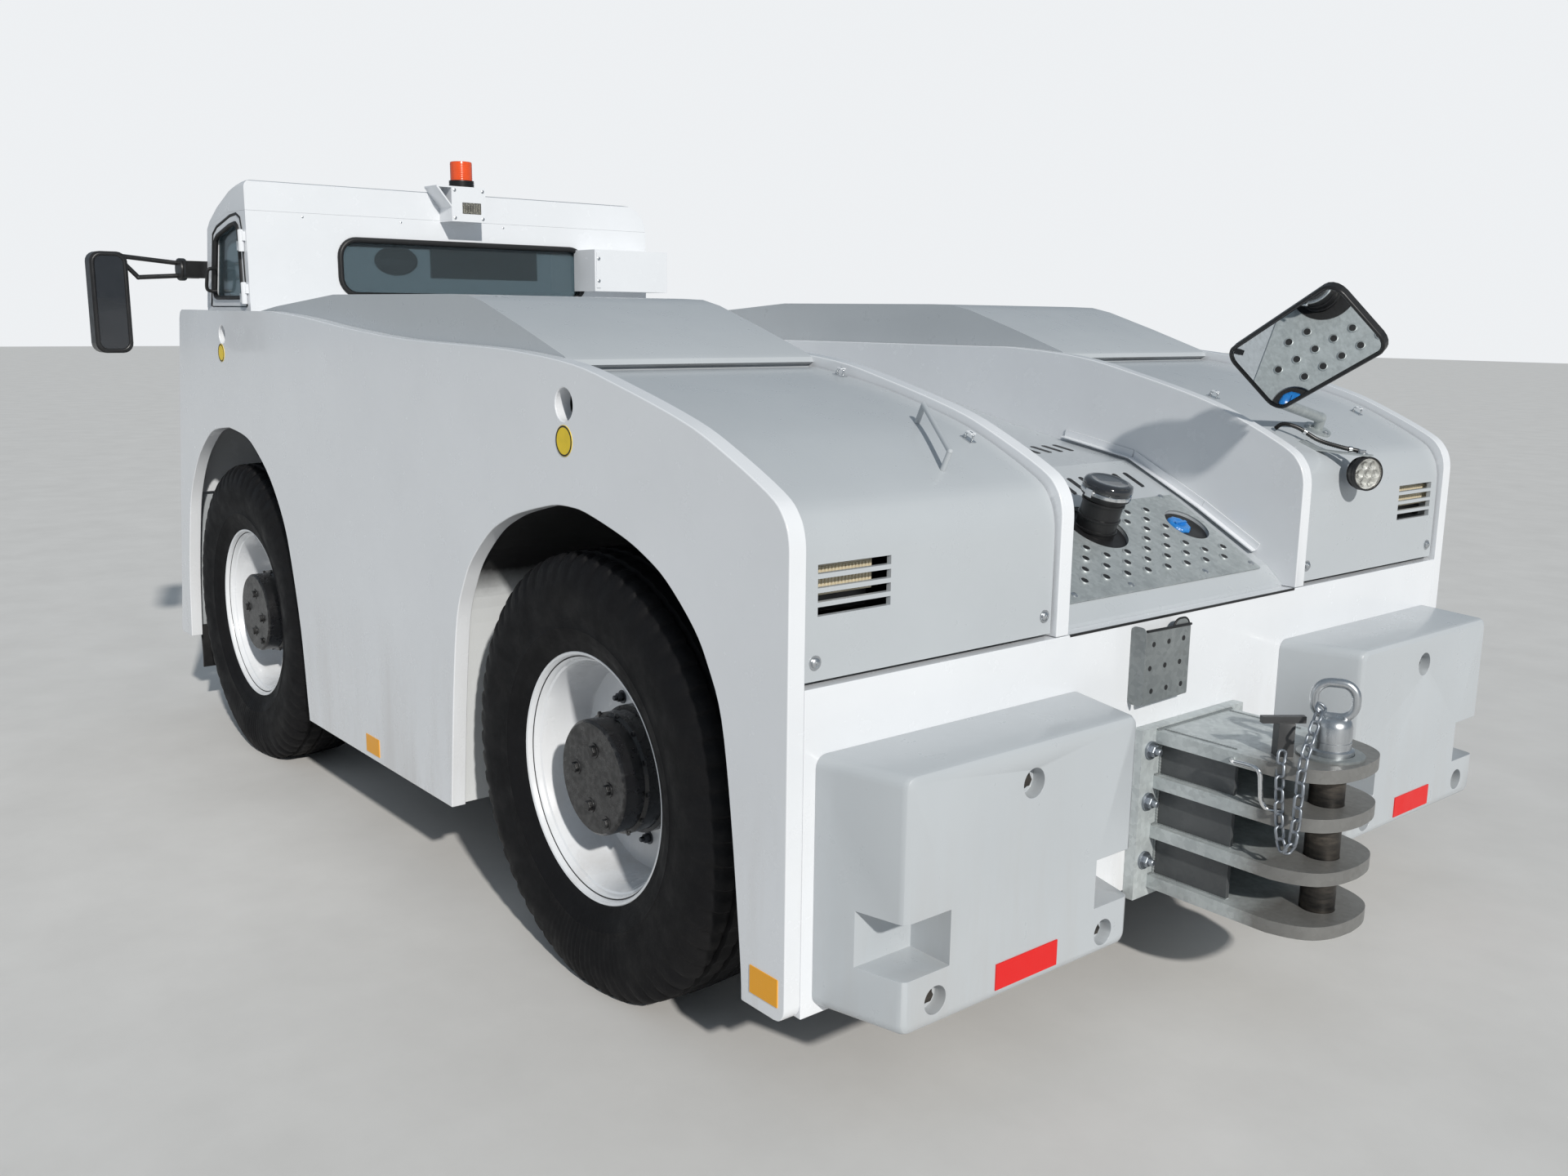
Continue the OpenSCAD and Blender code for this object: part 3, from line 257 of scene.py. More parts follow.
def clear(name, colour, bump=0.0):
    """Glass with a little haze; bump ripples it."""
    n = Nodes(name)
    haze = n.grade(n.noise(6, 6, 0.6), 0.4, 0.75, 0.04, 0.14)
    n.end(colour, haze, n.bump(n.noise(60, 2, 0.5), bump, 0.0005), Transmission_Weight=0.92, IOR=1.45)


def bright_metal(name, colour, rough, spread=0.14):
    """Plated steel with fine wiping marks."""
    n = Nodes(name)
    marks = n.noise(90, 5, 0.7, stretch=(1, 1, 0.3))
    tone = n.mix(n.grade(marks, 0.4, 0.7, 0, 0.5), colour, tuple(c * 0.6 for c in colour))
    n.end(tone, n.grade(marks, 0.3, 0.7, rough, rough + spread), n.bump(marks, 0.3 * spread, 0.0004),
        Metallic=1.0)


def dark_steel(name):
    """Greased pin steel: near black, with brown rubbed bands."""
    n = Nodes(name)
    bands = n.noise(6, 6, 0.7, stretch=(1, 1, 5))
    base = n.ramp(bands, [(0.35, (0.035, 0.034, 0.033)), (0.55, (0.09, 0.08, 0.07)),
        (0.75, (0.2, 0.17, 0.14))])
    n.end(base, n.grade(bands, 0.3, 0.7, 0.34, 0.6), n.bump(n.noise(150, 4, 0.6), 0.2, 0.0006),
        Metallic=0.8)


def reflector(name, colour):
    """Prismatic tape: small square cells under a clear skin."""
    n = Nodes(name)
    brick = n.add("ShaderNodeTexVoronoi", {"Vector": n.space(), "Scale": 230.0, "Randomness": 0.0})
    cell = n.grade(brick.outputs["Distance"], 0.2, 0.7, 1, 0.72)
    tone = n.mix(cell, tuple(c * 0.7 for c in colour), colour)
    n.end(tone, n.grade(n.noise(25, 4), 0.3, 0.7, 0.3, 0.45), n.bump(cell, 0.3, 0.0004))


def arch_shaded_crown():
    """White legs under a dark crown, painted shade where the arch's top lies in shadow."""
    n = Nodes("arch")
    edge = n.math("ADD", n.split()["Z"], n.times(n.noise(9, 5, 0.6), 0.05))
    # The dark crown above the height mask is painted shade for the shadowed top of the arch; the legs below keep
    # the white.
    tone = n.mix(n.grade(edge, 0.86, 0.93), (0.72, 0.74, 0.75), (0.022, 0.022, 0.023))
    n.end(tone, 0.6, n.bump(n.noise(160, 4, 0.6), 0.3, 0.001))


# The record's slots
paint("white_paint", (0.82, 0.84, 0.87))
paint("grey_paint", (0.5, 0.53, 0.555), gloss=0.3, dust=0.25, coat=0.25)
worn_black("black_paint")
galvanised("galvanised")
rubber("tyre")
plastic("black_plastic", (0.016, 0.016, 0.017), 0.34)
clear("glass", (0.3, 0.37, 0.4))
clear("lens", (0.94, 0.92, 0.84), bump=0.3)
plastic("amber", (0.9, 0.095, 0.012), 0.2, 0.08, Coat_Weight=0.5)
plastic("blue_plastic", (0.02, 0.23, 0.66), 0.28, Coat_Weight=0.3)

# Finer looks
bright_metal("zinc", (0.62, 0.64, 0.66), 0.24)
bright_metal("chrome", (0.8, 0.81, 0.82), 0.08)
bright_metal("mirror", (0.86, 0.88, 0.89), 0.008, 0.02)
bright_metal("bolt_zinc", (0.38, 0.41, 0.45), 0.38)
bright_metal("lug_steel", (0.1, 0.105, 0.115), 0.38)
plastic("dark_mirror", (0.02, 0.022, 0.026), 0.08, 0.0, Coat_Weight=1.0, Coat_Roughness=0.02)
plastic("yellow_sign", (0.95, 0.68, 0.015), 0.3, 0.1)
plastic("seal", (0.012, 0.012, 0.013), 0.46, 0.35)
plastic("seat_cloth", (0.028, 0.028, 0.03), 0.78, 0.9)
plastic("tail_lens", (0.75, 0.66, 0.48), 0.24, 0.1, Coat_Weight=0.4)
plastic("dark_glass", (0.02, 0.02, 0.022), 0.12, 0.0, Coat_Weight=0.6)
galvanised("worn_zinc", 0.62, 0.5)
# A darker copy of the zinc for the bracket: painted shade, as the bracket stands in shadow.
galvanised("bracket_zinc", 0.58, 0.1)
# A lighter copy of the zinc for the hitch: painted light, standing in for the sky light on it.
galvanised("hitch", 1.12, hitch=True)
worn_black("hub_black", (0.006, 0.006, 0.007), 0.24, 0.06, 0.05)
dark_steel("pin_steel")
reflector("red_tape", (0.78, 0.006, 0.005))
reflector("orange_tape", (0.95, 0.42, 0.012))
arch_shaded_crown()

# The slot that each finer look belongs to
LOOKS = {"galvanised": "zinc chrome mirror pin_steel worn_zinc bracket_zinc bolt_zinc",
    "black_plastic": "dark_mirror seal dark_glass", "black_paint": "hub_black lug_steel",
    "lens": "red_tape orange_tape yellow_sign tail_lens"}
SLOT_FOR = {look: slot for slot, looks in LOOKS.items() for look in looks.split()}


def wear(obj, mat):
    obj.data.materials.clear()
    obj.data.materials.append(mat)


for name, obj in nodes.items():
    look = "arch" if name.startswith("arches") else "hub_black" if name.startswith("hub") else slot_of[name]
    wear(obj, M[look])


# Building shapes
def placed(name, bm):
    """Turns a finished mesh into an object of the scene."""
    mesh = bpy.data.meshes.new(name)
    bm.to_mesh(mesh)
    bm.free()
    obj = bpy.data.objects.new(name, mesh)
    scene.collection.objects.link(obj)
    return obj


def shade(mesh, angle):
    """Smooth faces, split where they meet at more than an angle."""
    mesh.polygons.foreach_set("use_smooth", [True] * len(mesh.polygons))
    mesh.set_sharp_from_angle(angle=math.radians(angle))


def oblong(a, b, c, d):
    """Corners of a rectangle from (a, b) to (c, d)."""
    return (a, b), (c, b), (c, d), (a, d)


def panel(middle, across, up):
    """Corners of a rectangle about its middle, from its two half widths."""
    return [middle + across * p + up * q for p, q in oblong(-1, -1, 1, 1)]


def turns(count):
    """Even angles round a circle."""
    return [2 * math.pi * i / count for i in range(count)]


def basis(z, hint=(0, 0, 1)):
    """Two unit directions across z, and z itself."""
    z = Vector(z).normalized()
    x = Vector(hint).cross(z)
    if x.length < 1e-3:
        x = Vector((1, 0, 0)).cross(z)
    x.normalize()
    return x, z.cross(x), z


class Shape:
    """A mesh under construction, in metres from the rear axle's middle."""

    def __init__(self):
        self.bm = bmesh.new()

    def grid(self, rows, closed=False):
        """Skin over rows of points; each row is a loop, and closed joins the last row to the first."""
        rings = [[self.bm.verts.new(p) for p in row] for row in rows]
        n = len(rings[0])
        pairs = list(zip(rings, rings[1:])) + ([(rings[-1], rings[0])] if closed else [])
        for a, b in pairs:
            for i in range(n):
                self.bm.faces.new((a[i], a[(i + 1) % n], b[(i + 1) % n], b[i]))
        if not closed:
            self.bm.faces.new(list(reversed(rings[0])))
            self.bm.faces.new(rings[-1])
        return self

    def lathe(self, profile, place, axis, sides, closed=False):
        """Turns points of (radius, distance along the axis) round an axis."""
        x, y, z = basis(axis)
        rows = []
        for r, h in profile:
            r = max(r, 1e-5)
            foot = Vector(place) + z * h
            rows.append([foot + (x * math.cos(a) + y * math.sin(a)) * r for a in turns(sides)])
        return self.grid(rows, closed)

    def tube(self, path, radius, closed=False, sides=10, flat=1.0, ripple=None):
        """Round bar along a path; ripple gives a factor on the radius for each point."""
        path = [Vector(p) for p in path]
        n = len(path)
        rows = []
        x = None
        for i, p in enumerate(path):
            before = path[(i - 1) % n] if closed or i else p
            after = path[(i + 1) % n] if closed or i < n - 1 else p
            t = (after - before).normalized()
            if x is None:
                x = basis(t)[0]
            x = (x - t * x.dot(t)).normalized()
            y = t.cross(x)
            r = radius * (ripple(i) if ripple else 1.0)
            rows.append([p + (x * math.cos(a) + y * math.sin(a) * flat) * r for a in turns(sides)])
        return self.grid(rows, closed)

    def extrude(self, outline, origin, across, up, depth):
        """A plate from an outline in the plane of two directions, thickened along their normal."""
        o, a, u = Vector(origin), Vector(across), Vector(up)
        out = a.cross(u)
        return self.grid([[o + a * p + u * q + out * d for p, q in outline] for d in (0, depth)])

    def ring(self, place, axis, inner, outer, low, high, sides, closed=False):
        """A washer between two radii and two distances along the axis."""
        profile = [(inner, low), (outer, low), (outer, high), (inner, high)]
        return self.lathe(profile, place, axis, sides, closed)

    def stud(self, place, axis, wide, low, high, tip, top, sides=14):
        """A round bar from low to high, tapering to its tip at the top."""
        return self.lathe([(wide, low), (wide, high), (tip, top)], place, axis, sides)

    def block(self, low, high, turn=None, place=(0, 0, 0)):
        """A box from corner to corner, turned and placed where that is given."""
        lo, hi = Vector(low), Vector(high)
        corners = oblong(lo.x, lo.y, hi.x, hi.y)
        m = Matrix.Translation(place) @ (turn.to_4x4() if turn else Matrix.Identity(4))
        return self.grid([[m @ Vector((x, y, z)) for x, y in corners] for z in (lo.z, hi.z)])

    def hexagon(self, place, axis, radius, high):
        """Bolt head or nut with chamfered top, standing on its place."""
        self.lathe([(radius * 1.45, 0), (radius * 1.45, high * 0.18)], place, axis, 24)
        top = Vector(place) + Vector(axis).normalized() * high * 0.18
        return self.lathe([(radius, 0), (radius, high * 0.7), (radius * 0.86, high * 0.82)], top, axis, 6)

    def done(self, name, mat, node=None, slot=None, round_by=0.0, smooth=35):
        """Turns the mesh into a piece that rides with a node, or else on the tractor's body."""
        bmesh.ops.recalc_face_normals(self.bm, faces=self.bm.faces)
        self.bm.transform(Matrix.Translation(REAR_AXLE))
        obj = placed(name, self.bm)
        wear(obj, M[mat])
        shade(obj.data, smooth)
        if round_by:
            rounded_edges(obj, round_by)
        body = body_of[node] if node else "body"
        slot = slot or SLOT_FOR.get(mat, mat)
        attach(obj, body)
        return obj


def rounded_edges(obj, width):
    bevel = obj.modifiers.new("edges", "BEVEL")
    bevel.width = width
    bevel.segments = 2
    bevel.limit_method = "ANGLE"
    bevel.angle_limit = math.radians(32)
    bevel.harden_normals = True


def softened(node, width):
    """Copies a node's mesh to a new piece whose sharp edges are rounded, and stands it in for the node."""
    bm = bmesh.new()
    bm.from_mesh(nodes[node].data)
    bmesh.ops.remove_doubles(bm, verts=bm.verts, dist=1e-5)
    bmesh.ops.dissolve_limit(bm, angle_limit=math.radians(0.4), verts=bm.verts, edges=bm.edges)
    obj = placed(node + "_skin", bm)
    wear(obj, M["hitch" if node == "rear_hitch" else slot_of[node]])
    shade(obj.data, 32)
    rounded_edges(obj, width)
    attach(obj, body_of[node])
    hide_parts(node)


trees = {}


def surface(node, start, way):
    """Where a ray from a place meets a node: the place, from the rear axle, and the face's normal."""
    if node not in trees:
        data = nodes[node].data
        places, faces = [v.co for v in data.vertices], [p.vertices for p in data.polygons]
        trees[node] = BVHTree.FromPolygons(places, faces)
    hit, normal, _, _ = trees[node].ray_cast(REAR_AXLE + Vector(start), Vector(way))
    if normal.dot(Vector(way)) > 0:
        normal = -normal
    return hit - REAR_AXLE, normal


def loop_path(points, radius, steps=6):
    """A closed flat path through corners, each rounded by an arc."""
    out = []
    n = len(points)
    for i in range(n):
        a, b, c = (Vector(points[(i + k) % n]) for k in (-1, 0, 1))
        to_a, to_c = (a - b).normalized(), (c - b).normalized()
        half = to_a.angle(to_c) / 2
        reach = min(radius / math.tan(half), (a - b).length * 0.49, (c - b).length * 0.49)
        r = reach * math.tan(half)
        centre = b + (to_a + to_c).normalized() * (r / math.sin(half))
        start, end = b + to_a * reach - centre, b + to_c * reach - centre
        turn_by = start.angle(end)
        axis = start.cross(end).normalized()
        out += [centre + Matrix.Rotation(turn_by * k / steps, 3, axis) @ start for k in range(steps + 1)]
    return out


def curve_through(points, steps):
    """A smooth open path through points."""
    p = [Vector(v) for v in points]
    out = []
    for i in range(len(p) - 1):
        a, b, c, d = p[max(i - 1, 0)], p[i], p[i + 1], p[min(i + 2, len(p) - 1)]
        for k in range(steps):
            t = k / steps
            out.append(0.5 * (2 * b + (c - a) * t + (2 * a - 5 * b + 4 * c - d) * t ** 2
                + (3 * b - a - 3 * c + d) * t ** 3))
    out.append(p[-1])
    return out


SIDES = ((1, "left"), (-1, "right"))
OUT = Vector((-1, 0, 0))
UP = Vector((0, 0, 1))

# Rounded copies of the sheet, plate and cast pieces: radius of the edges, nodes
ROUNDED = ((0.003, "side_plate_left side_plate_right inner_plates"),
    (0.002, "rear_plate hood_left hood_right"), (0.003, "hump_left hump_right"),
    (0.006, "rear_weights front_weight"), (0.003, "front_fascia"), (0.004, "cab_shell"),
    (0.006, "cab_roof"), (0.002, "cab_door"), (0.0016, "rear_hitch front_hitch"), (0.012, "tank"),
    (0.0015, "channel_floor"))
for width, names in ROUNDED:
    for node in names.split():
        softened(node, width)


# Wheels
WHEEL_Y = spin["spin_rl"].y - REAR_AXLE.y
WHEEL_Z = spin["spin_rl"].z
WHEELBASE = spin["spin_fl"].x - REAR_AXLE.x
WHEELS = (("fl", WHEELBASE, 1), ("fr", WHEELBASE, -1), ("rl", 0, 1), ("rr", 0, -1))
LUGS = 60
LUG_STEPS = (1.0, 1.0, 0.7, 0.25, 0, 0, 0, 0)
LUG_DEPTH = 0.008
# Half of the tyre's section: radius, distance from its middle, share of the lug notch
TYRE_HALF = ((0.2808, 0.0725, 0), (0.2908, 0.093, 0), (0.293, 0.109, 0), (0.3065, 0.1135, 0),
    (0.322, 0.1195, 0), (0.325, 0.1222, 0), (0.344, 0.1275, 0), (0.348, 0.13, 0), (0.352, 0.1288, 0),
    (0.375, 0.134, 0), (0.4, 0.1375, 0), (0.425, 0.139, 0), (0.44, 0.1382, 0), (0.452, 0.1365, 0.3),
    (0.47, 0.132, 1), (0.488, 0.1255, 1), (0.5, 0.118, 1), (0.51, 0.108, 1), (0.5155, 0.098, 0.9),
    (0.5165, 0.082, 0.6), (0.5065, 0.078, 0), (0.5065, 0.07, 0), (0.5175, 0.066, 0.3), (0.519, 0.035, 0.3),
    (0.5085, 0.031, 0), (0.5085, 0.024, 0), (0.52, 0.02, 0.3), (0.52, 0.0, 0.3))
SAG_ANGLE = math.radians(30)
BULGE = 0.011


def tyre(code, x, s):
    section = list(TYRE_HALF) + [(r, -y, lug) for r, y, lug in reversed(TYRE_HALF[:-1])]
    columns = LUGS * len(LUG_STEPS)
    rows = []
    for i in range(columns):
        a = 2 * math.pi * i / columns
        from_foot = abs((a + math.pi / 2 + math.pi) % (2 * math.pi) - math.pi)
        sag = max(0.0, 1 - from_foot / SAG_ANGLE) ** 1.5
        row = []
        for r, y, lug in section:
            step = LUG_STEPS[(i + (4 if y < 0 else 0)) % len(LUG_STEPS)]
            radius = r - LUG_DEPTH * lug * step
            z = max(radius * math.sin(a), -WHEEL_Z)
            belly = math.sin(math.pi * min(max((r - 0.31) / 0.2, 0), 1))
            wrinkle = 0.0022 * math.sin(a * 132) * sag * belly
            swell = math.copysign(BULGE * sag * belly + wrinkle, y)
            row.append((x + radius * math.cos(a), s * WHEEL_Y + y + swell, WHEEL_Z + z))
        rows.append(row)
    obj = Shape().grid(rows, closed=True).done("tyre_" + code + "_rubber", "tyre", "tyre_" + code,
        smooth=40)
    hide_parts("tyre_" + code)


# Section of a rim: radius, distance outward from its middle
RIM = ((0.2925, 0.107), (0.2905, 0.1085), (0.286, 0.107), (0.283, 0.103), (0.281, 0.095), (0.2775, 0.0945),
    (0.274, 0.09), (0.272, 0.081), (0.2675, 0.078), (0.262, 0.06), (0.256, 0.02), (0.2525, -0.036),
    (0.248, -0.044), (0.185, -0.052), (0.1503, -0.052), (0.1503, -0.068), (0.19, -0.068), (0.2625, -0.06),
    (0.2705, -0.085), (0.2845, -0.107), (0.2925, -0.107), (0.2905, -0.093), (0.2805, -0.077),
    (0.2805, 0.073), (0.2905, 0.093))


def rim(code, x, s):
    obj = Shape().lathe(RIM, (x, s * WHEEL_Y, WHEEL_Z), (0, s, 0), 96, True).done("rim_" + code,
        "white_paint", "wheel_" + code, smooth=28)
    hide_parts("wheel_" + code)
    seam = [(0.2814, 0.0944), (0.2784, 0.0944), (0.2784, 0.0953), (0.2814, 0.0958)]
    Shape().lathe(seam, (x, s * WHEEL_Y, WHEEL_Z), (0, s, 0), 96, True).done("rim_seam_" + code, "seal",
        "wheel_" + code, slot="black_paint", smooth=28)


def wheel_fittings(code, x, s):
    out = Vector((0, s, 0))
    middle = Vector((x, s * WHEEL_Y, WHEEL_Z))

    def ring(radius, count, first, off):
        for a in turns(count):
            a += first
            yield middle + Vector((math.cos(a) * radius, s * off, math.sin(a) * radius))

    hub = "hub_" + code
    nuts = Shape()
    for place in ring(0.178, 10, 0.3, -0.052):
        nuts.hexagon(place, out, 0.0112, 0.017)
        nuts.stud(place, out, 0.0065, 0.012, 0.024, 0.005, 0.026, 12)
    nuts.done("lug_nuts_" + code, "lug_steel", hub, round_by=0.0008)
    face = Shape()
    for place in ring(0.068, 4, 0.14, 0.101):
        face.hexagon(place, out, 0.0125, 0.01)
    for place in ring(0.108, 1, 4.14, 0.101):
        face.hexagon(place, out, 0.011, 0.008)
    for place in ring(0.14, 12, 0.1, 0.04):
        face.stud(place, out, 0.0065, 0, 0.005, 0.004, 0.006, 12)
    face.done("hub_bolts_" + code, "hub_black", hub, round_by=0.0006)
    valve = middle + Vector((0.222, s * -0.046, 0.05))
    tip = valve + out * 0.053 + OUT * 0.012
    stem = Shape().tube([valve, valve + out * 0.03 + OUT * 0.004, tip + out * 0.002], 0.0045, sides=12)
    stem.stud(tip, out, 0.0056, 0, 0.012, 0.004, 0.014, 12)
    stem.done("valve_" + code, "black_plastic", hub)


for code, x, s in WHEELS:
    tyre(code, x, s)
    rim(code, x, s)
    wheel_fittings(code, x, s)


# Beacon, its stand's lamp, and the ribbed lamps behind the louvres
def beacon():
    x, y, foot = 2.096, 0.39, 1.9733
    base = [(0.044, 0)]
    for i in range(4):
        h = 0.001 + i * 0.0048
        base += [(0.044, h + 0.0005), (0.044, h + 0.0026), (0.0415, h + 0.003), (0.0415, h + 0.0046)]
    base += [(0.044, 0.0205), (0.0435, 0.0225), (0.039, 0.023)]
    Shape().lathe(base, (x, y, foot), UP, 48).done("beacon_base", "black_plastic")
    lens = [(0.038, 0.0232)]
    for i in range(9):
        h = 0.025 + i * 0.0065
        lens += [(0.038, h), (0.0387, h + 0.0016), (0.038, h + 0.0032)]
    lens += [(0.038, 0.083), (0.0372, 0.0862), (0.035, 0.0876), (0.012, 0.088), (0.01, 0.0868),
        (0.0, 0.0868)]
    obj = Shape().lathe(lens, (x, y, foot), UP, 48).done("beacon_lens", "amber")
    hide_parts("beacon")


def rear_lamps():
    face, ribs, rib_pitch = -0.7195, 23, 0.0084
    for s, side in SIDES:
        middle = (0, s * 1.0825, 0)
        lens = Shape().block((face, -0.0975, 1.036), (-0.69, 0.0975, 1.092), place=middle)
        for i in range(ribs):
            y = s * (0.99 + i * rib_pitch)
            lens.tube([(face, y, 1.039), (face, y, 1.089)], 0.0034, sides=8)
        obj = lens.done("tail_lens_" + side, "tail_lens")
        if s > 0:
            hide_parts("rear_lamps")
        back = Shape().block((-0.7, -0.103, 1.0), (-0.685, 0.103, 1.1), place=middle)
        back.done("tail_housing_" + side, "black_plastic", round_by=0.002)
    face, ribs, rib_pitch = 2.0523, 7, 0.0098
    stand = Shape().block((face, 0.3383, 1.8803), (2.08, 0.4107, 1.9187))
    for i in range(ribs):
        y = 0.345 + i * rib_pitch
        stand.tube([(face, y, 1.883), (face, y, 1.916)], 0.0026, sides=8)
    stand.block((2.08, 0.36, 1.89), (2.15, 0.39, 1.91))
    stand.done("stand_lens", "lens", round_by=0.001)
    screws = Shape()
    for y, z in oblong(0.332, 1.865, 0.44, 1.96):
        screws.stud((2.052, y, z), OUT, 0.0055, 0, 0.002, 0.003, 0.0035)
    screws.done("stand_screws", "zinc")


beacon()
rear_lamps()

# Cab: seals, what shows through the glass, the left mirror, the seat and the door's fittings
CAB_REAR, CAB_FRONT, SILL, EAVE = 2.15, 2.6, 1.545, 1.858
CAB_LEFT, CAB_RIGHT = 1.14, -0.43


def screen_x(z):
    return CAB_FRONT - 0.052 * (z - SILL) / (EAVE - 0.046 - SILL)


def seals():
    def seal(name, corners, bend, steps, radius, sides, flat, node=None):
        path = loop_path(corners, bend, steps)
        Shape().tube(path, radius, True, sides, flat).done(name, "seal", node, smooth=60)

    rear = [(CAB_REAR, y, z) for y, z in oblong(-0.14, 1.592, 0.826, 1.778)]
    seal("rear_window_seal", rear, 0.06, 8, 0.0125, 12, 0.8)
    side = [(x, CAB_RIGHT, z) for x, z in oblong(2.215, 1.58, 2.49, 1.79)]
    seal("side_window_seal", side, 0.04, 6, 0.011, 12, 0.7)
    front = [(screen_x(z), y, z) for y, z in oblong(-0.37, 1.57, 1.08, 1.786)]
    seal("screen_seal", front, 0.05, 6, 0.0125, 12, 0.8)
    door = [(x, CAB_LEFT, z) for x, z in ((2.213, 1.577), (2.222, 1.8), (2.246, 1.821), (2.3, 1.816),
        (2.434, 1.787), (2.462, 1.772), (2.511, 1.577))]
    seal("door_seal", door, 0.022, 4, 0.0085, 10, 0.8, "cab_door")
    edge = [(x, CAB_LEFT - 0.001, z) for x, z in ((2.181, 1.549), (2.191, 1.803), (2.203, 1.836),
        (2.24, 1.851), (2.3, 1.847), (2.442, 1.817), (2.488, 1.794), (2.549, 1.549))]
    Shape().tube(edge, 0.0045, False, 8).done("door_gasket", "seal", smooth=60)


def cab_inside():
    glass = Shape()
    glass.lathe([(0.0, 0.0), (0.055, 0.003), (0.074, 0.012), (0.082, 0.028), (0.079, 0.034), (0.0, 0.036)],
        (0, 0, 0), (1, 0, 0), 40)
    for v in glass.bm.verts:
        v.co = Vector((v.co.x, v.co.y * 1.05, v.co.z * 0.66)) + Vector((2.4, 0.5, 1.722))
    glass.tube([(2.43, 0.5, 1.76), (2.45, 0.5, 1.8), (2.45, 0.5, 1.835)], 0.008)
    glass.done("cab_mirror", "dark_glass", smooth=50)
    visor = Shape().block((-0.01, -0.225, -0.062), (0.01, 0.225, 0.062), place=(2.43, 0.135, 1.725))
    visor.tube([(2.43, -0.05, 1.787), (2.43, -0.05, 1.835)], 0.006)
    visor.tube([(2.43, 0.32, 1.787), (2.43, 0.32, 1.835)], 0.006)
    visor.done("sun_visor", "seal", round_by=0.008)


def left_mirror():
    face_x = 2.629
    ring = loop_path([(face_x, y, z) for y, z in oblong(1.398, 1.394, 1.501, 1.719)], 0.03)
    Shape().tube(ring, 0.0065, True, 10).done("left_mirror_rim", "black_plastic", smooth=60)
    inner = loop_path([(0, y, z) for y, z in oblong(1.401, 1.397, 1.498, 1.716)], 0.028)
    glass = Shape().extrude([(p.y, p.z) for p in inner], (face_x + 0.001, 0, 0), (0, 1, 0), (0, 0, 1),
        -0.003)
    glass.done("left_mirror_glass", "dark_mirror")
    collar = Shape().lathe([(0.037, 0), (0.039, 0.004), (0.039, 0.02), (0.037, 0.024)],
        (2.641, 1.196, 1.6745), (0, 1, 0), 32)
    collar.lathe([(0.0305, 0), (0.0305, 0.05)], (2.641, 1.15, 1.6745), (0, 1, 0), 32)
    collar.done("mirror_root_collar", "black_plastic", round_by=0.001)


def seat_pads():
    """Cushions that swell out of the seat's own outline, with piped seams."""
    src = nodes["seat"]
    obj = bpy.data.objects.new("seat_cushion", src.data.copy())
    scene.collection.objects.link(obj)
    blocky = obj.modifiers.new("blocks", "REMESH")
    blocky.mode = "VOXEL"
    blocky.voxel_size = 0.014
    soft = obj.modifiers.new("soft", "SMOOTH")
    soft.factor = 0.7
    soft.iterations = 9
    bpy.context.view_layer.update()
    mesh = bpy.data.meshes.new_from_object(obj.evaluated_get(bpy.context.evaluated_depsgraph_get()))
    obj.modifiers.clear()
    obj.data = mesh
    mesh.polygons.foreach_set("use_smooth", [True] * len(mesh.polygons))
    wear(obj, M["seat_cloth"])
    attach(obj, "body")
    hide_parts("seat")
    seams = Shape()
    for y in (-0.095, 0.255):
        seams.tube(curve_through([(2.199, y, 1.24), (2.201, y, 1.38), (2.215, y, 1.5)], 4), 0.004, sides=8)
    seams.done("seat_piping", "black_plastic")


seals()
cab_inside()
left_mirror()
seat_pads()


def cab_trim():
    strip = Shape().block((1.9965, -0.124, 1.634), (2.0, -0.106, 1.766))
    strip.done("box_strip", "white_paint", round_by=0.0008)
    screws = Shape()
    for y, z in ((-0.115, 1.742), (-0.115, 1.66)):
        screws.stud((1.9965, y, z), OUT, 0.006, 0, 0.0025, 0.003, 0.004)
    for y in (0.2, 0.6, 0.95):
        screws.stud((CAB_REAR, y, 1.845), OUT, 0.0035, 0, 0.001, 0.002, 0.002)
    screws.done("cab_screws", "zinc")
    for z in (1.59, 1.76):
        cap = Shape().stud((2.176, 1.15, z), UP, 0.0095, -0.034, 0.034, 0.006, 0.037, 16)
        cap.done("hinge_cover_" + ("low" if z < 1.7 else "high"), "white_paint", "cab_door")
    handle = Shape().tube(curve_through([(2.482, 1.142, 1.6), (2.482, 1.172, 1.604), (2.47, 1.176, 1.64),
        (2.462, 1.172, 1.672), (2.462, 1.142, 1.676)], 5), 0.006)
    handle.done("door_handle", "black_plastic", "cab_door")


cab_trim()


# Rear end: pins, hitch, chain, weights and bracket
PIN_X = -1.131
FRONT_PIN_X = 3.147


def weld(shape, a, b, radius=0.0048):
    """A bead of weld between two points, in overlapping drops."""
    a, b = Vector(a), Vector(b)
    count = max(int((b - a).length / 0.0022), 2)
    path = [a.lerp(b, i / count) for i in range(count + 1)]
    shape.tube(path, radius, sides=8, ripple=lambda i: 0.86 + 0.14 * math.sin(i * 1.9)
        + random.uniform(-0.05, 0.05))


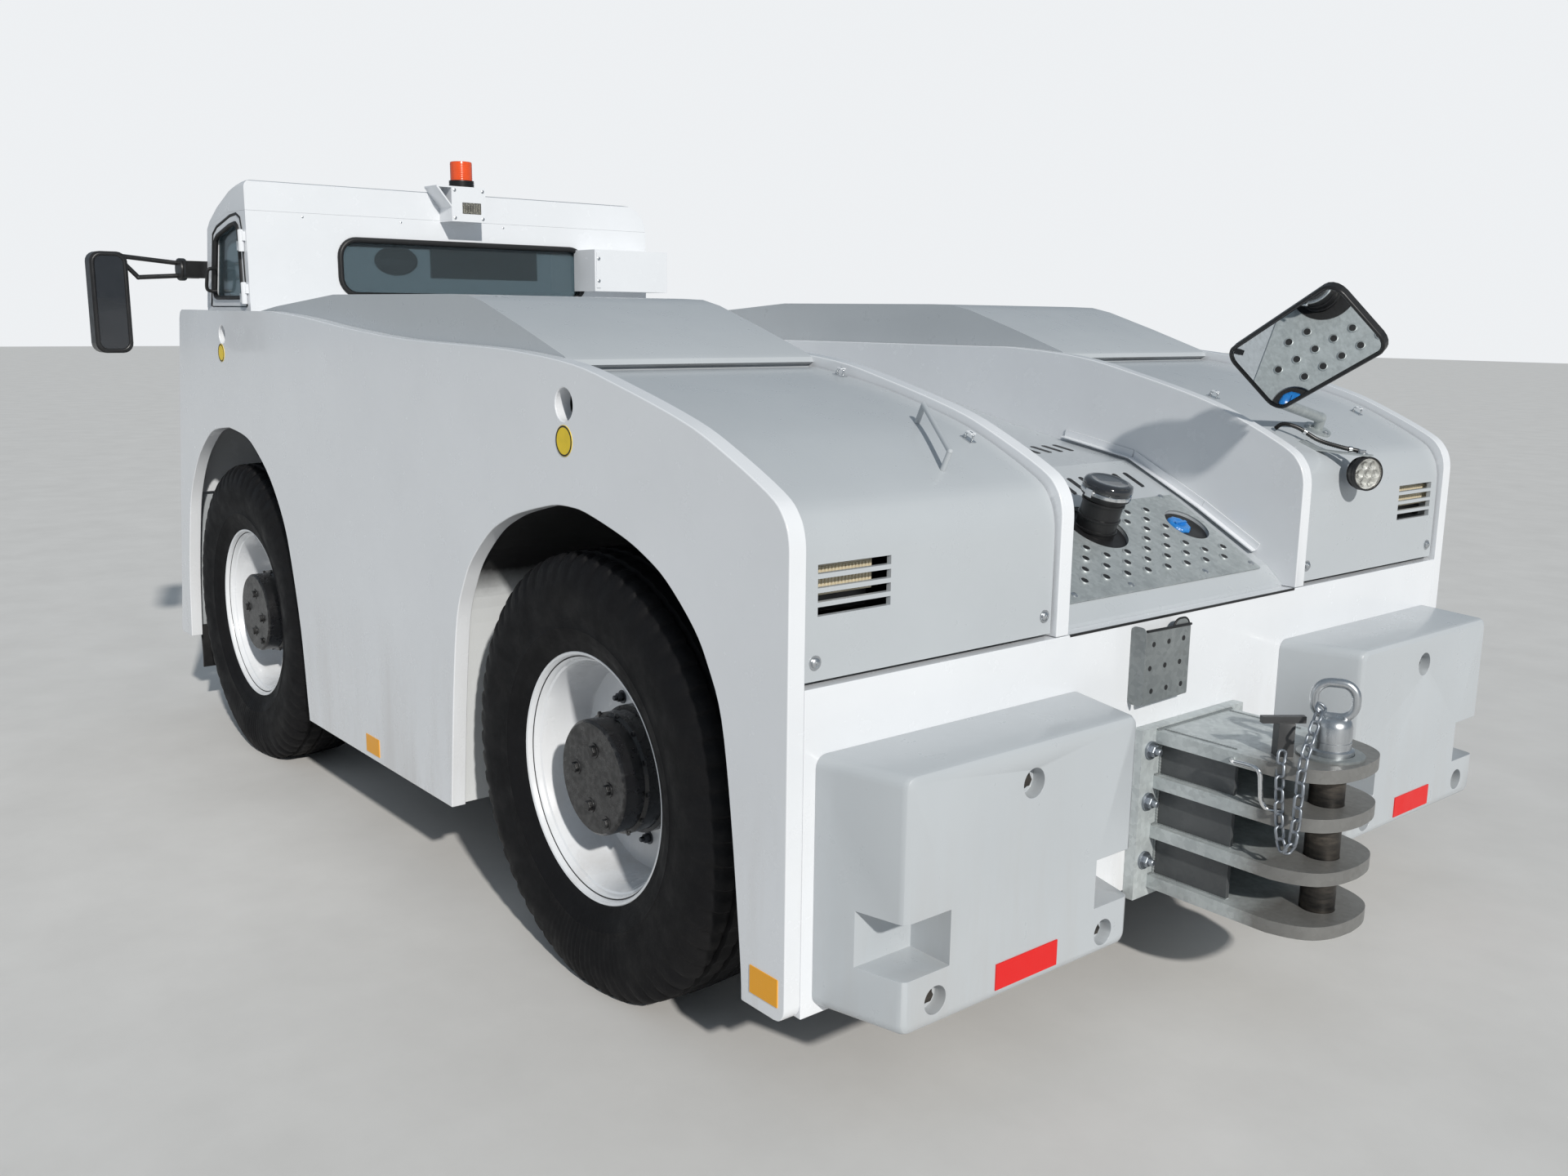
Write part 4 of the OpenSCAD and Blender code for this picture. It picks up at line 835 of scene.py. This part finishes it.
def pin(node, x, foot, top, head):
    """A hitch pin: its shaft, its turned head and the ring that lifts it."""
    r = 0.0375
    shaft = Shape().lathe([(0.001, foot), (0.0315, foot), (r, foot + 0.006), (r, top + 0.0004)], (x, 0, 0),
        UP, 48)
    shaft = shaft.done(node + "_shaft", "pin_steel", node, slot=slot_of[node], smooth=30)
    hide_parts(node)
    knob = [(0.0485, top + 0.0004), (0.0485, top + 0.016), (0.047, top + 0.017), (0.0415, top + 0.019),
        (0.0412, top + 0.034), (0.04, top + 0.0345), (0.04, top + 0.0385), (0.0412, top + 0.039),
        (0.041, top + head - 0.024), (0.0385, top + head - 0.015), (0.031, top + head - 0.006),
        (0.02, top + head - 0.001), (0.001, top + head)]
    Shape().lathe([(0.001, top + 0.0004)] + knob, (x, 0, 0), UP, 48).done(node + "_head", "zinc",
        node, smooth=30)
    c, w, h, turn_by = top + head + 0.031, 0.042, 0.038, math.radians(28)
    across = Vector((math.cos(turn_by), math.sin(turn_by), 0))
    corners = panel(Vector((x, 0, c)), across * w, UP * h)
    Shape().tube(loop_path(corners, 0.032, 8), 0.0102, True, 16).done(node + "_ring", "zinc", node,
        smooth=60)


def hitch_details():
    plate, web, half_plate, bolts_out = -0.79, 0.129, 0.148, 0.168
    welds = Shape()
    for s in (1, -1):
        weld(welds, (plate - 0.0005, s * web, 0.24), (plate - 0.0005, s * web, 0.61))
    for top in TONGUES:
        for z in (top, top - 0.03):
            weld(welds, (plate - 0.0015, -half_plate, z), (plate - 0.0015, half_plate, z))
        for s in (1, -1):
            weld(welds, (-0.985, s * web, top), (-0.8, s * web, top), 0.003)
    welds.done("hitch_welds", "worn_zinc", smooth=60)
    bolts = Shape()
    for s in (1, -1):
        for z in (0.575, 0.452, 0.31):
            bolts.lathe([(0.021, 0), (0.021, 0.004)], (plate, s * bolts_out, z), OUT, 28)
            head = (plate - 0.004, s * bolts_out, z)
            bolts.hexagon(head, OUT, 0.0145, 0.014)
            bolts.stud(head, OUT, 0.008, 0.012, 0.024, 0.006, 0.026)
    bolts.done("hitch_bolts", "bolt_zinc", round_by=0.0006)
    ring = Shape().lathe([(0.0385, 0), (0.071, 0), (0.071, 0.005), (0.068, 0.007), (0.0495, 0.007),
        (0.0495, 0.0)], (PIN_X, 0, TONGUES[0]), UP, 48, True)
    ring.done("tongue_ring", "worn_zinc")
    hook = curve_through([(-1.002, 0.167, 0.602), (-1.04, 0.168, 0.604), (-1.064, 0.166, 0.597),
        (-1.067, 0.16, 0.56), (-1.067, 0.152, 0.528), (-1.078, 0.143, 0.511), (-1.103, 0.129, 0.51)], 5)
    hook = [(-0.985, 0.142, 0.602), (-0.992, 0.16, 0.602)] + [tuple(p) for p in hook]
    Shape().tube(hook, 0.0055, sides=12).done("latch_rod", "chrome", smooth=60)


def chain():
    """A loop of welded links that hangs from the pin's ring and goes back up to the latch."""
    path = curve_through([(-1.129, 0.05, 0.738), (-1.14, 0.082, 0.722), (-1.148, 0.122, 0.676),
        (-1.152, 0.148, 0.628), (-1.152, 0.153, 0.56), (-1.15, 0.153, 0.49), (-1.143, 0.153, 0.448),
        (-1.131, 0.153, 0.436), (-1.12, 0.153, 0.452), (-1.112, 0.153, 0.5), (-1.106, 0.152, 0.57),
        (-1.102, 0.147, 0.626), (-1.098, 0.132, 0.658)], 16)
    pitch, wire, half_long, half_wide = 0.0272, 0.0033, 0.0104, 0.0072
    lengths = [0.0]
    for a, b in zip(path, path[1:]):
        lengths.append(lengths[-1] + (b - a).length)
    links = Shape()
    count = int(lengths[-1] / pitch)
    for i in range(count):
        d = (i + 0.5) * pitch
        k = max(j for j, v in enumerate(lengths) if v <= d)
        k = min(k, len(path) - 2)
        along = (path[k + 1] - path[k]).normalized()
        place = path[k] + along * (d - lengths[k])
        x, y, _ = basis(along, (0.3, 1, 0.2))
        wide = x if i % 2 else y
        loop = []
        for a in turns(16):
            stretch = half_long if math.cos(a) > 0 else -half_long
            onward = along * (math.cos(a) * half_wide + stretch * 0.72)
            loop.append(place + onward + wide * math.sin(a) * (half_wide + wire))
        links.tube(loop, wire, True, 8)
    links.done("pin_chain", "bolt_zinc", "rear_pin", smooth=60)


def weight_details():
    for s, side in SIDES:
        tape = Shape().block((-0.9585, -0.09, -0.027), (-0.9555, 0.09, 0.027), place=(0, s * 0.767, 0.296))
        tape.done("red_reflector_" + side, "red_tape", round_by=0.0006)
        bolts = Shape()
        for y, z in ((0.768, 0.668), (1.02, 0.302), (0.529, 0.295)):
            bolts.hexagon((-0.926, s * y, z), OUT, 0.0135, 0.013)
        bolts.done("weight_bolts_" + side, "pin_steel", round_by=0.0006)


def bracket():
    """A folded channel with an outward flange and a hung ear; its rows of holes are dark discs of painted shade.
    """
    def rounded(points, r):
        return [(v.x, v.y) for v in loop_path([(a, b, 0) for a, b in points], r, 5)]

    sheet = Shape()
    face = rounded([(0.044, 0.69), (0.21, 0.686), (0.21, 0.855), (0.044, 0.852)], 0.005)
    sheet.extrude(face, (-0.7885, 0, 0), (0, 1, 0), UP, -0.003)
    ear = rounded(oblong(0.045, 0.815, 0.104, 0.869), 0.022)
    sheet.extrude(ear, (-0.785, 0, 0), (0, 1, 0), UP, -0.003)
    flange = rounded(oblong(-0.76, 0.688, -0.802, 0.868), 0.014)
    sheet.extrude(flange, (0, 0.224, 0), (1, 0, 0), UP, -0.003)
    sheet.block((-0.791, 0.044, 0.69), (-0.76, 0.047, 0.852))
    sheet.block((-0.772, 0.047, 0.7), (-0.769, 0.224, 0.85))
    obj = sheet.done("bracket_sheet", "bracket_zinc", round_by=0.0008)
    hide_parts("bracket")
    # Painted shade: dark discs in place of the holes, a dark line along the face's top edge and a dark line round
    # the ear.
    dark = Shape()
    outside, hole_pitch, hole_rise, stagger = -0.7915, 0.056, 0.054, 0.01
    for i in range(3):
        for k in range(3):
            place = (outside, 0.07 + hole_pitch * i + (stagger if k == 1 else 0), 0.716 + hole_rise * k)
            dark.ring(place, OUT, 0.0005, 0.0062, 0, 0.0004, 16)
    dark.tube([(outside, 0.044, 0.854), (outside, 0.21, 0.857)], 0.0032, sides=10)
    rim = loop_path([(-0.787, y, z) for y, z in oblong(0.045, 0.82, 0.104, 0.871)], 0.023)
    dark.tube(rim, 0.0024, True, 8)
    dark.done("bracket_hole_shades", "seal", smooth=60)


pin("rear_pin", PIN_X, 0.222, TONGUES[0], 0.092)
pin("front_pin", FRONT_PIN_X, 0.385, 0.56, 0.06)
hitch_details()
chain()
weight_details()
bracket()


# Side plates: reflectors and lifting-point signs
def plate_details():
    for s, side in SIDES:
        tapes = Shape()
        for x, z, w, h in ((1.106, 0.309, 0.045, 0.026), (-0.7, 0.29, 0.042, 0.028)):
            tapes.block((-w, -0.0015, -h), (w, 0.0015, h), place=(x, s * 1.2205, z))
        tapes.done("orange_reflectors_" + side, "orange_tape", round_by=0.0004)
        disc, border = Shape(), Shape()
        for x, z, r in ((0.0, 1.268, 0.034), (2.227, 1.395, 0.03)):
            place, out = (x, s * 1.22, z), (0, s, 0)
            disc.ring(place, out, 0.001, r, 0, 0.0012, 40)
            border.ring(place, out, r - 0.0045, r - 0.001, 0.0011, 0.0017, 40, True)
        disc.done("lifting_signs_" + side, "yellow_sign")
        border.done("sign_borders_" + side, "seal")


def lid_details():
    """Latches along the lids' edges, and the screws of their rear faces."""
    for s, side, spots in ((1, "left", ((-0.088, 0.512), (-0.544, 0.547))),
            (-1, "right", ((-0.391, -0.584), (-0.541, -1.076)))):
        node = "hood_" + side
        plates, tabs = Shape(), Shape()
        for x, y in spots:
            foot, n = surface(node, (x, y, 2.0), (0, 0, -1))
            along = Vector((n.z, 0, -n.x))
            turn = Matrix((along, Vector((0, 1, 0)), n)).transposed()
            plates.block((-0.017, -0.01, 0), (0.017, 0.01, 0.0025), turn, foot)
            plates.stud(foot + along * 0.011, n, 0.005, 0.0025, 0.005, 0.003, 0.006, 12)
            bow = [foot + n * a + along * b for a, b in ((0.002, -0.01), (0.012, -0.012), (0.018, -0.004),
                (0.014, 0.008), (0.006, 0.012))]
            plates.tube(curve_through(bow, 4), 0.0028, sides=8)
            tabs.block((-0.006, -0.008, 0.016), (0.01, 0.008, 0.0195), turn, foot - along * 0.004)
        plates.done("lid_latches_" + side, "chrome", node, round_by=0.0005)
        tabs.done("latch_tabs_" + side, "white_paint", node, round_by=0.0008)
        screws = Shape()
        for y, z in ((1.147, 0.919), (0.513, 0.924)):
            place, n = surface(node, (-1.2, s * y, z), (1, 0, 0))
            screws.lathe([(0.014, 0), (0.014, 0.0018), (0.0095, 0.002), (0.0095, 0.005), (0.006, 0.0075),
                (0.0, 0.008)], place, n, 24)
            screws.lathe([(0.0035, 0.006), (0.0035, 0.0086)], place, n, 6)
        screws.done("lid_screws_" + side, "zinc", node)


# The sloped tread plate's foot, and the ways up it and out of it
SLOPE_FOOT = Vector((-0.676, 0, 0.924))
SLOPE_UP = Vector((0.874, 0, 0.486))
SLOPE_OUT = Vector((-0.486, 0, 0.874))
# Its punched holes: rows, holes to each side, first row, spacing upwards and sideways, shift to the left
HOLE_ROWS, HOLE_REACH = 7, 6
HOLE_FIRST, HOLE_RISE, HOLE_PITCH, HOLE_SHIFT = 0.048, 0.0356, 0.079, 0.006
HOLE_RIGHT, HOLE_LEFT, HOLE_CLEAR = -0.38, 0.415, 0.018
# Its two openings: distance up, distance to the left, radius
OPENINGS = ((0.224, 0.01, 0.085), (0.188, -0.327, 0.062))
# Rows of drain slots behind it: place ahead, height, rise
DRAINS = ((-0.318, 1.1143, 0.4677), (-0.072, 1.1806, 0.1612))
DRAIN_COUNT, DRAIN_FIRST, DRAIN_PITCH = 10, -0.35, 0.047
HALF_CHANNEL = 0.44


def tread_holes():
    """Raised collars in staggered rows, each about a dark disc of painted shade standing in for its hole."""
    collars, hole_shades = Shape(), Shape()
    for i in range(HOLE_ROWS):
        for k in range(-HOLE_REACH, HOLE_REACH + 1):
            u, v = HOLE_FIRST + HOLE_RISE * i, HOLE_SHIFT + HOLE_PITCH * (k + (i % 2) / 2)
            clear_by = min(math.hypot(u - a, v - b) - r for a, b, r in OPENINGS)
            if clear_by > HOLE_CLEAR and HOLE_RIGHT < v < HOLE_LEFT:
                foot = SLOPE_FOOT + SLOPE_UP * u + Vector((0, v, 0))
                collars.lathe([(0.009, 0.0072), (0.0134, 0.0042), (0.0128, 0.006), (0.011, 0.008),
                    (0.0094, 0.008)], foot, SLOPE_OUT, 20, True)
                # A dark disc inside each collar: painted shade in its hole.
                hole_shades.ring(foot, SLOPE_OUT, 0.0004, 0.0093, 0.0072, 0.0076, 20)
    collars.done("tread_collars", "galvanised", smooth=50)
    hole_shades.done("tread_hole_shades", "seal")


def channel_painted_shade():
    """Painted shade: a dark line for the shadow at the floor's lip, a dark sheet for the shade in the space under
    the floor, and dark patches for the shade in its drain slots.
    """
    # A thin dark strip: painted shadow along the floor's lip above the rear plate.
    lip = Shape().block((-0.7624, -HALF_CHANNEL, 0.8712), (-0.759, HALF_CHANNEL, 0.8764))
    lip.done("floor_lip_shadow_line", "seal")
    # A dark sheet just under the floor: painted shade for the space below it.
    floor_path = [(-0.676, 0.924), (-0.417, 1.068), (-0.231, 1.155), (0.011, 1.194), (0.19, 1.226)]
    under = [(a, b - 0.0075) for a, b in floor_path] + [(a, b - 0.01) for a, b in reversed(floor_path)]
    rows = [[Vector((a, s * HALF_CHANNEL, b)) for a, b in under] for s in (-1, 1)]
    Shape().grid(rows).done("floor_shade_sheet", "seal")
    # Dark patches lying on the floor: painted shade in the drain slots.
    drains = Shape()
    for x, z, rise in DRAINS:
        along = Vector((1, 0, rise)).normalized()
        n = Vector((-along.z, 0, along.x))
        for i in range(DRAIN_COUNT):
            corners = panel(Vector((x, DRAIN_FIRST + DRAIN_PITCH * i, z)), along * 0.037,
                Vector((0, 0.0082, 0)))
            rim_line = loop_path(corners, 0.008, 4)
            drains.grid([[q + n * h for q in rim_line] for h in (0.0003, 0.0009)])
    drains.done("drain_slot_shades", "seal")


def channel_fittings():
    """Screws of the tread plate, and the angles along the floor's sides."""
    screws = Shape()
    for x, y in ((-0.408, -0.35), (-0.668, 0.316), (-0.668, 0.11), (-0.668, -0.186), (-0.668, -0.385)):
        place, n = surface("tread_plate", (x, y, 2.0), (0, 0, -1))
        screws.lathe([(0.0085, 0), (0.0085, 0.0012), (0.006, 0.003), (0.0, 0.0042)], place, n, 18)
    screws.done("tread_screws", "zinc")
    angle = Shape()
    edge = [Vector((x, 0, z)) for x, z in ((-0.64, 0.95), (-0.47, 1.044), (-0.24, 1.156), (0.0, 1.197))]
    for low, high in zip(edge, edge[1:]):
        along = (high - low).normalized()
        up = Vector((-along.z, 0, along.x))
        for s in (1, -1):
            y = s * 0.4445
            for wide, tall in ((0.022, 0.003), (0.003, 0.022)):
                rows = []
                inward = Vector((0, -s * wide, 0))
                for p in (low, high):
                    foot = p + up * 0.006 + Vector((0, y, 0))
                    rows.append([foot, foot + inward, foot + inward + up * tall, foot + up * tall])
                angle.grid(rows)
    angle.done("channel_angles", "white_paint")


FILL_FOOT = Vector((-0.465, 0, 1.012))
FILL_AXIS = Vector((-0.281, 0, 0.96))


def fillers():
    """The black cap with its bright band and clip, and the lobed blue cap."""
    band = [(0.0603, 0.112), (0.0625, 0.114), (0.0625, 0.121), (0.0603, 0.123)]
    Shape().lathe(band, FILL_FOOT, FILL_AXIS, 56, True).done("filler_band", "chrome")
    cap = [(0.0603, 0.124), (0.0618, 0.126), (0.0618, 0.136), (0.059, 0.143), (0.054, 0.1468),
        (0.045, 0.1484), (0.042, 0.1474), (0.03, 0.147), (0.0, 0.147)]
    Shape().lathe([(0.05, 0.124)] + cap, FILL_FOOT, FILL_AXIS, 56).done("filler_cap", "dark_mirror",
        smooth=50)
    ribs = Shape()
    for h in (0.02, 0.05, 0.09):
        ribs.lathe([(0.0503, h), (0.0535, h + 0.001), (0.0535, h + 0.006), (0.0503, h + 0.007)], FILL_FOOT,
            FILL_AXIS, 48, True)
    ribs.done("filler_rings", "black_plastic")
    x, y, z = basis(FILL_AXIS)
    base = FILL_FOOT + FILL_AXIS * 0.118
    turn_by = Matrix((-y, x, z)).transposed()
    clip = Shape().block((-0.01, -0.07, -0.008), (0.01, -0.058, 0.012), turn_by, base)
    bolt = base + x * 0.066 + z * 0.004
    clip.tube([bolt + OUT * 0.02, bolt - OUT * 0.02], 0.004, sides=12)
    clip.done("filler_clip", "chrome", round_by=0.001)
    blue = Shape()
    top = Vector((-0.501, -0.308, 1.02))
    bx, by, bz = basis(SLOPE_OUT)
    rows = []
    for r, h, lobed in ((0.0255, -0.027, 0), (0.0325, -0.026, 1), (0.0335, -0.02, 1), (0.0335, -0.006, 1),
            (0.031, 0.0008, 1), (0.026, 0.0028, 0.4), (0.014, 0.0032, 0), (0.012, 0.0015, 0),
            (0.0005, 0.0015, 0)):
        ring = [(a, r * (1 - lobed * 0.075 * (0.5 - 0.5 * math.cos(9 * a)))) for a in turns(108)]
        rows.append([top + bz * h + (bx * math.cos(a) + by * math.sin(a)) * out for a, out in ring])
    blue.grid(rows)
    blue.block((-0.022, -0.0035, 0.001), (0.022, 0.0035, 0.0075), Matrix((bx, by, bz)).transposed(), top)
    blue.done("blue_cap", "blue_plastic", smooth=50)


MIRROR_AT = Vector((-0.824, -0.284, 1.473))
MIRROR_LONG, MIRROR_SHORT, MIRROR_FACE = (Vector(v).normalized() for v in ((0.846, -0.353, -0.4),
    (-0.511, -0.467, -0.725), (0.069, 0.816, -0.574)))


def hitch_mirror():
    """The glass, its rubber rim, the clamp at its back and the screws of its arm's foot."""
    path = loop_path(panel(MIRROR_AT, MIRROR_LONG * 0.2005, MIRROR_SHORT * 0.0905), 0.031, 8)
    glass = Shape().grid([[p + MIRROR_FACE * d for p in path] for d in (0.0004, 0.0016)])
    glass.done("hitch_mirror_glass", "mirror", "hitch_mirror")
    rim = loop_path(panel(MIRROR_AT, MIRROR_LONG * 0.2065, MIRROR_SHORT * 0.0965), 0.037, 8)
    Shape().tube([p + MIRROR_FACE * 0.0028 for p in rim], 0.0042, True, 10).done("hitch_mirror_rim",
        "black_plastic", "hitch_mirror", smooth=60)
    clamp = Shape()
    grip = MIRROR_AT - MIRROR_FACE * 0.0483
    clamp.stud(grip, MIRROR_FACE, 0.0215, -0.012, 0.01, 0.018, 0.014, 24)
    clamp.hexagon(grip + MIRROR_LONG * 0.02, MIRROR_LONG, 0.0075, 0.008)
    clamp.done("mirror_clamp", "zinc", "lid_brackets", round_by=0.0006)
    foot = Vector((-0.61, -0.75, 1.249))
    fx, fy, fz = basis((-0.438, 0, 0.899))
    screws = Shape()
    for a in (0.4, 2.5, 4.6):
        screws.hexagon(foot + fz * 0.008 + (fx * math.cos(a) + fy * math.sin(a)) * 0.026, fz, 0.006, 0.006)
    screws.done("mirror_foot_screws", "zinc", "lid_brackets")


LAMP_AT = Vector((-0.8, -0.672, 1.156))
LAMP_AXIS = Vector((-0.914, 0.407, 0)).normalized()


def work_lamp():
    x, y, _ = basis(LAMP_AXIS)
    bowl = Shape().ring(LAMP_AT, LAMP_AXIS, 0.001, 0.0385, -0.0002, 0.0012, 48)
    for i in range(7):
        a, r = (0, 0) if i == 6 else (math.pi * i / 3, 0.0245)
        place = LAMP_AT + (x * math.cos(a) + y * math.sin(a)) * r
        bowl.lathe([(0.0118, 0.0012), (0.0118, 0.0062), (0.0108, 0.0062), (0.006, 0.003), (0.002, 0.0022)],
            place, LAMP_AXIS, 24)
    bowl.done("work_lamp_reflectors", "chrome", "work_lamp")
    lens = Shape().lathe([(0.0395, 0.0004), (0.0395, 0.008), (0.036, 0.0092), (0.0, 0.0096)], LAMP_AT,
        LAMP_AXIS, 48)
    lens.done("work_lamp_lens", "lens", "work_lamp", smooth=60)
    rim = Shape().lathe([(0.0396, 0.0), (0.0441, 0.0), (0.0441, 0.0085), (0.043, 0.0102), (0.0396, 0.0098)],
        LAMP_AT, LAMP_AXIS, 56, True)
    rim.done("work_lamp_rim", "black_plastic", "work_lamp", smooth=40)
    nut = Shape().hexagon(LAMP_AT + Vector((0.02, -0.008, 0.049)), UP, 0.01, 0.01)
    nut.done("lamp_nut", "zinc", "lid_brackets", round_by=0.0005)
    route = curve_through([(-0.6, -0.56, 1.262), (-0.615, -0.572, 1.275), (-0.645, -0.595, 1.266),
        (-0.685, -0.628, 1.236), (-0.735, -0.664, 1.218), (-0.768, -0.696, 1.208), (-0.782, -0.712, 1.186),
        (-0.776, -0.706, 1.164), (-0.763, -0.69, 1.156)], 22)
    Shape().tube(route, 0.0062, sides=10, ripple=lambda i: 1.0 if i % 2 else 0.82).done("lamp_cable",
        "black_plastic", "work_lamp", smooth=60)
    clip = Shape()
    for k in (52, 96):
        p = route[k]
        along = (route[k + 1] - route[k]).normalized()
        clip.ring(p, along, 0.0068, 0.008, -0.004, 0.004, 20, True)
    clip.done("cable_clips", "chrome", "lid_brackets")


# How far ahead the head lamps' lenses stand
HEAD_LAMP_X = 2.957176


def front_end():
    """Bezels and ribbed lenses of the head lamps, and the rubber flaps behind the front corners."""
    for s, side in SIDES:
        for k, y in enumerate((0.8805, 0.7005)):
            code = "%s_%d" % (side, k)
            place = Vector((HEAD_LAMP_X, s * y, 0.56))
            lens = [(0.001, -0.01), (0.0775, -0.01), (0.0775, 0.0)]
            for i in reversed(range(8)):
                r = 0.008 + i * 0.009
                lens += [(r + 0.0045, 0.0014), (r, 0.0)]
            lens.append((0.001, 0.0))
            Shape().lathe(lens, place, -OUT, 48).done("head_lamp_lens_" + code, "lens")
            bezel = [(0.0765, -0.006), (0.0855, -0.002), (0.0855, 0.006), (0.082, 0.008), (0.0765, 0.003)]
            rim = Shape().lathe(bezel, place - OUT * 0.002, -OUT, 56, True)
            rim.done("head_lamp_bezel_" + code, "chrome", smooth=60)
        rows = []
        for i in range(9):
            t = i / 8
            x, z = 2.845 - 0.012 * math.sin(t * 2.4), 0.345 - 0.165 * t
            rows.append([Vector((a, s * y, z)) for a, y in oblong(x - 0.004, 0.985, x + 0.004, 1.172)])
        Shape().grid(rows).done("front_flap_" + side, "seal")


plate_details()
lid_details()
tread_holes()
channel_painted_shade()
channel_fittings()
fillers()
hitch_mirror()
work_lamp()
front_end()

# Floor and light
ground = Nodes("floor")
tone = ground.ramp(ground.noise(3, 6, 0.6), [(0.3, (0.7, 0.685, 0.665)), (0.7, (0.76, 0.745, 0.725))])
ground.end(tone, 0.85, ground.bump(ground.noise(90, 3, 0.6), 0.1, 0.001))
bm = bmesh.new()
bmesh.ops.create_grid(bm, x_segments=1, y_segments=1, size=60)
floor = placed("floor", bm)
wear(floor, M["floor"])

world = bpy.data.worlds.new("world")
world.use_nodes = True
wt = world.node_tree
bg = wt.nodes["Background"]
show = wt.nodes.new("ShaderNodeBackground")
for shader, colour, strength in ((bg, (0.74, 0.87, 1.0, 1), 0.32), (show, (0.9, 0.92, 0.94, 1), 0.95)):
    shader.inputs["Color"].default_value = colour
    shader.inputs["Strength"].default_value = strength
path = wt.nodes.new("ShaderNodeLightPath")
seen = wt.nodes.new("ShaderNodeMath")
seen.operation = "MAXIMUM"
blend = wt.nodes.new("ShaderNodeMixShader")
for source, target in ((path.outputs["Is Camera Ray"], seen.inputs[0]),
        (path.outputs["Is Transmission Ray"], seen.inputs[1]), (seen.outputs[0], blend.inputs[0]),
        (bg.outputs[0], blend.inputs[1]), (show.outputs[0], blend.inputs[2]),
        (blend.outputs[0], wt.nodes["World Output"].inputs[0])):
    wt.links.new(source, target)
scene.world = world


def lamp(name, kind, energy, place, aim, size, colour=(1, 1, 1)):
    data = bpy.data.lights.new(name, kind)
    data.energy = energy
    data.color = colour
    if kind == "SUN":
        data.angle = size
    else:
        data.shape = "SQUARE"
        data.size = size
    o = bpy.data.objects.new(name, data)
    o.location = place
    o.rotation_mode = "QUATERNION"
    o.rotation_quaternion = (Vector(aim) - Vector(place)).to_track_quat("-Z", "Y")
    scene.collection.objects.link(o)


# The key light follows the sun of the photograph.
lamp("key", "SUN", 2.9, (-8.0, 2.6, 4.9), (0, 0, 0.1), math.radians(2), (1.0, 0.97, 0.92))
lamp("fill", "AREA", 12, (2.0, 7.0, 4.0), (0, 0, 0.8), 5.0)
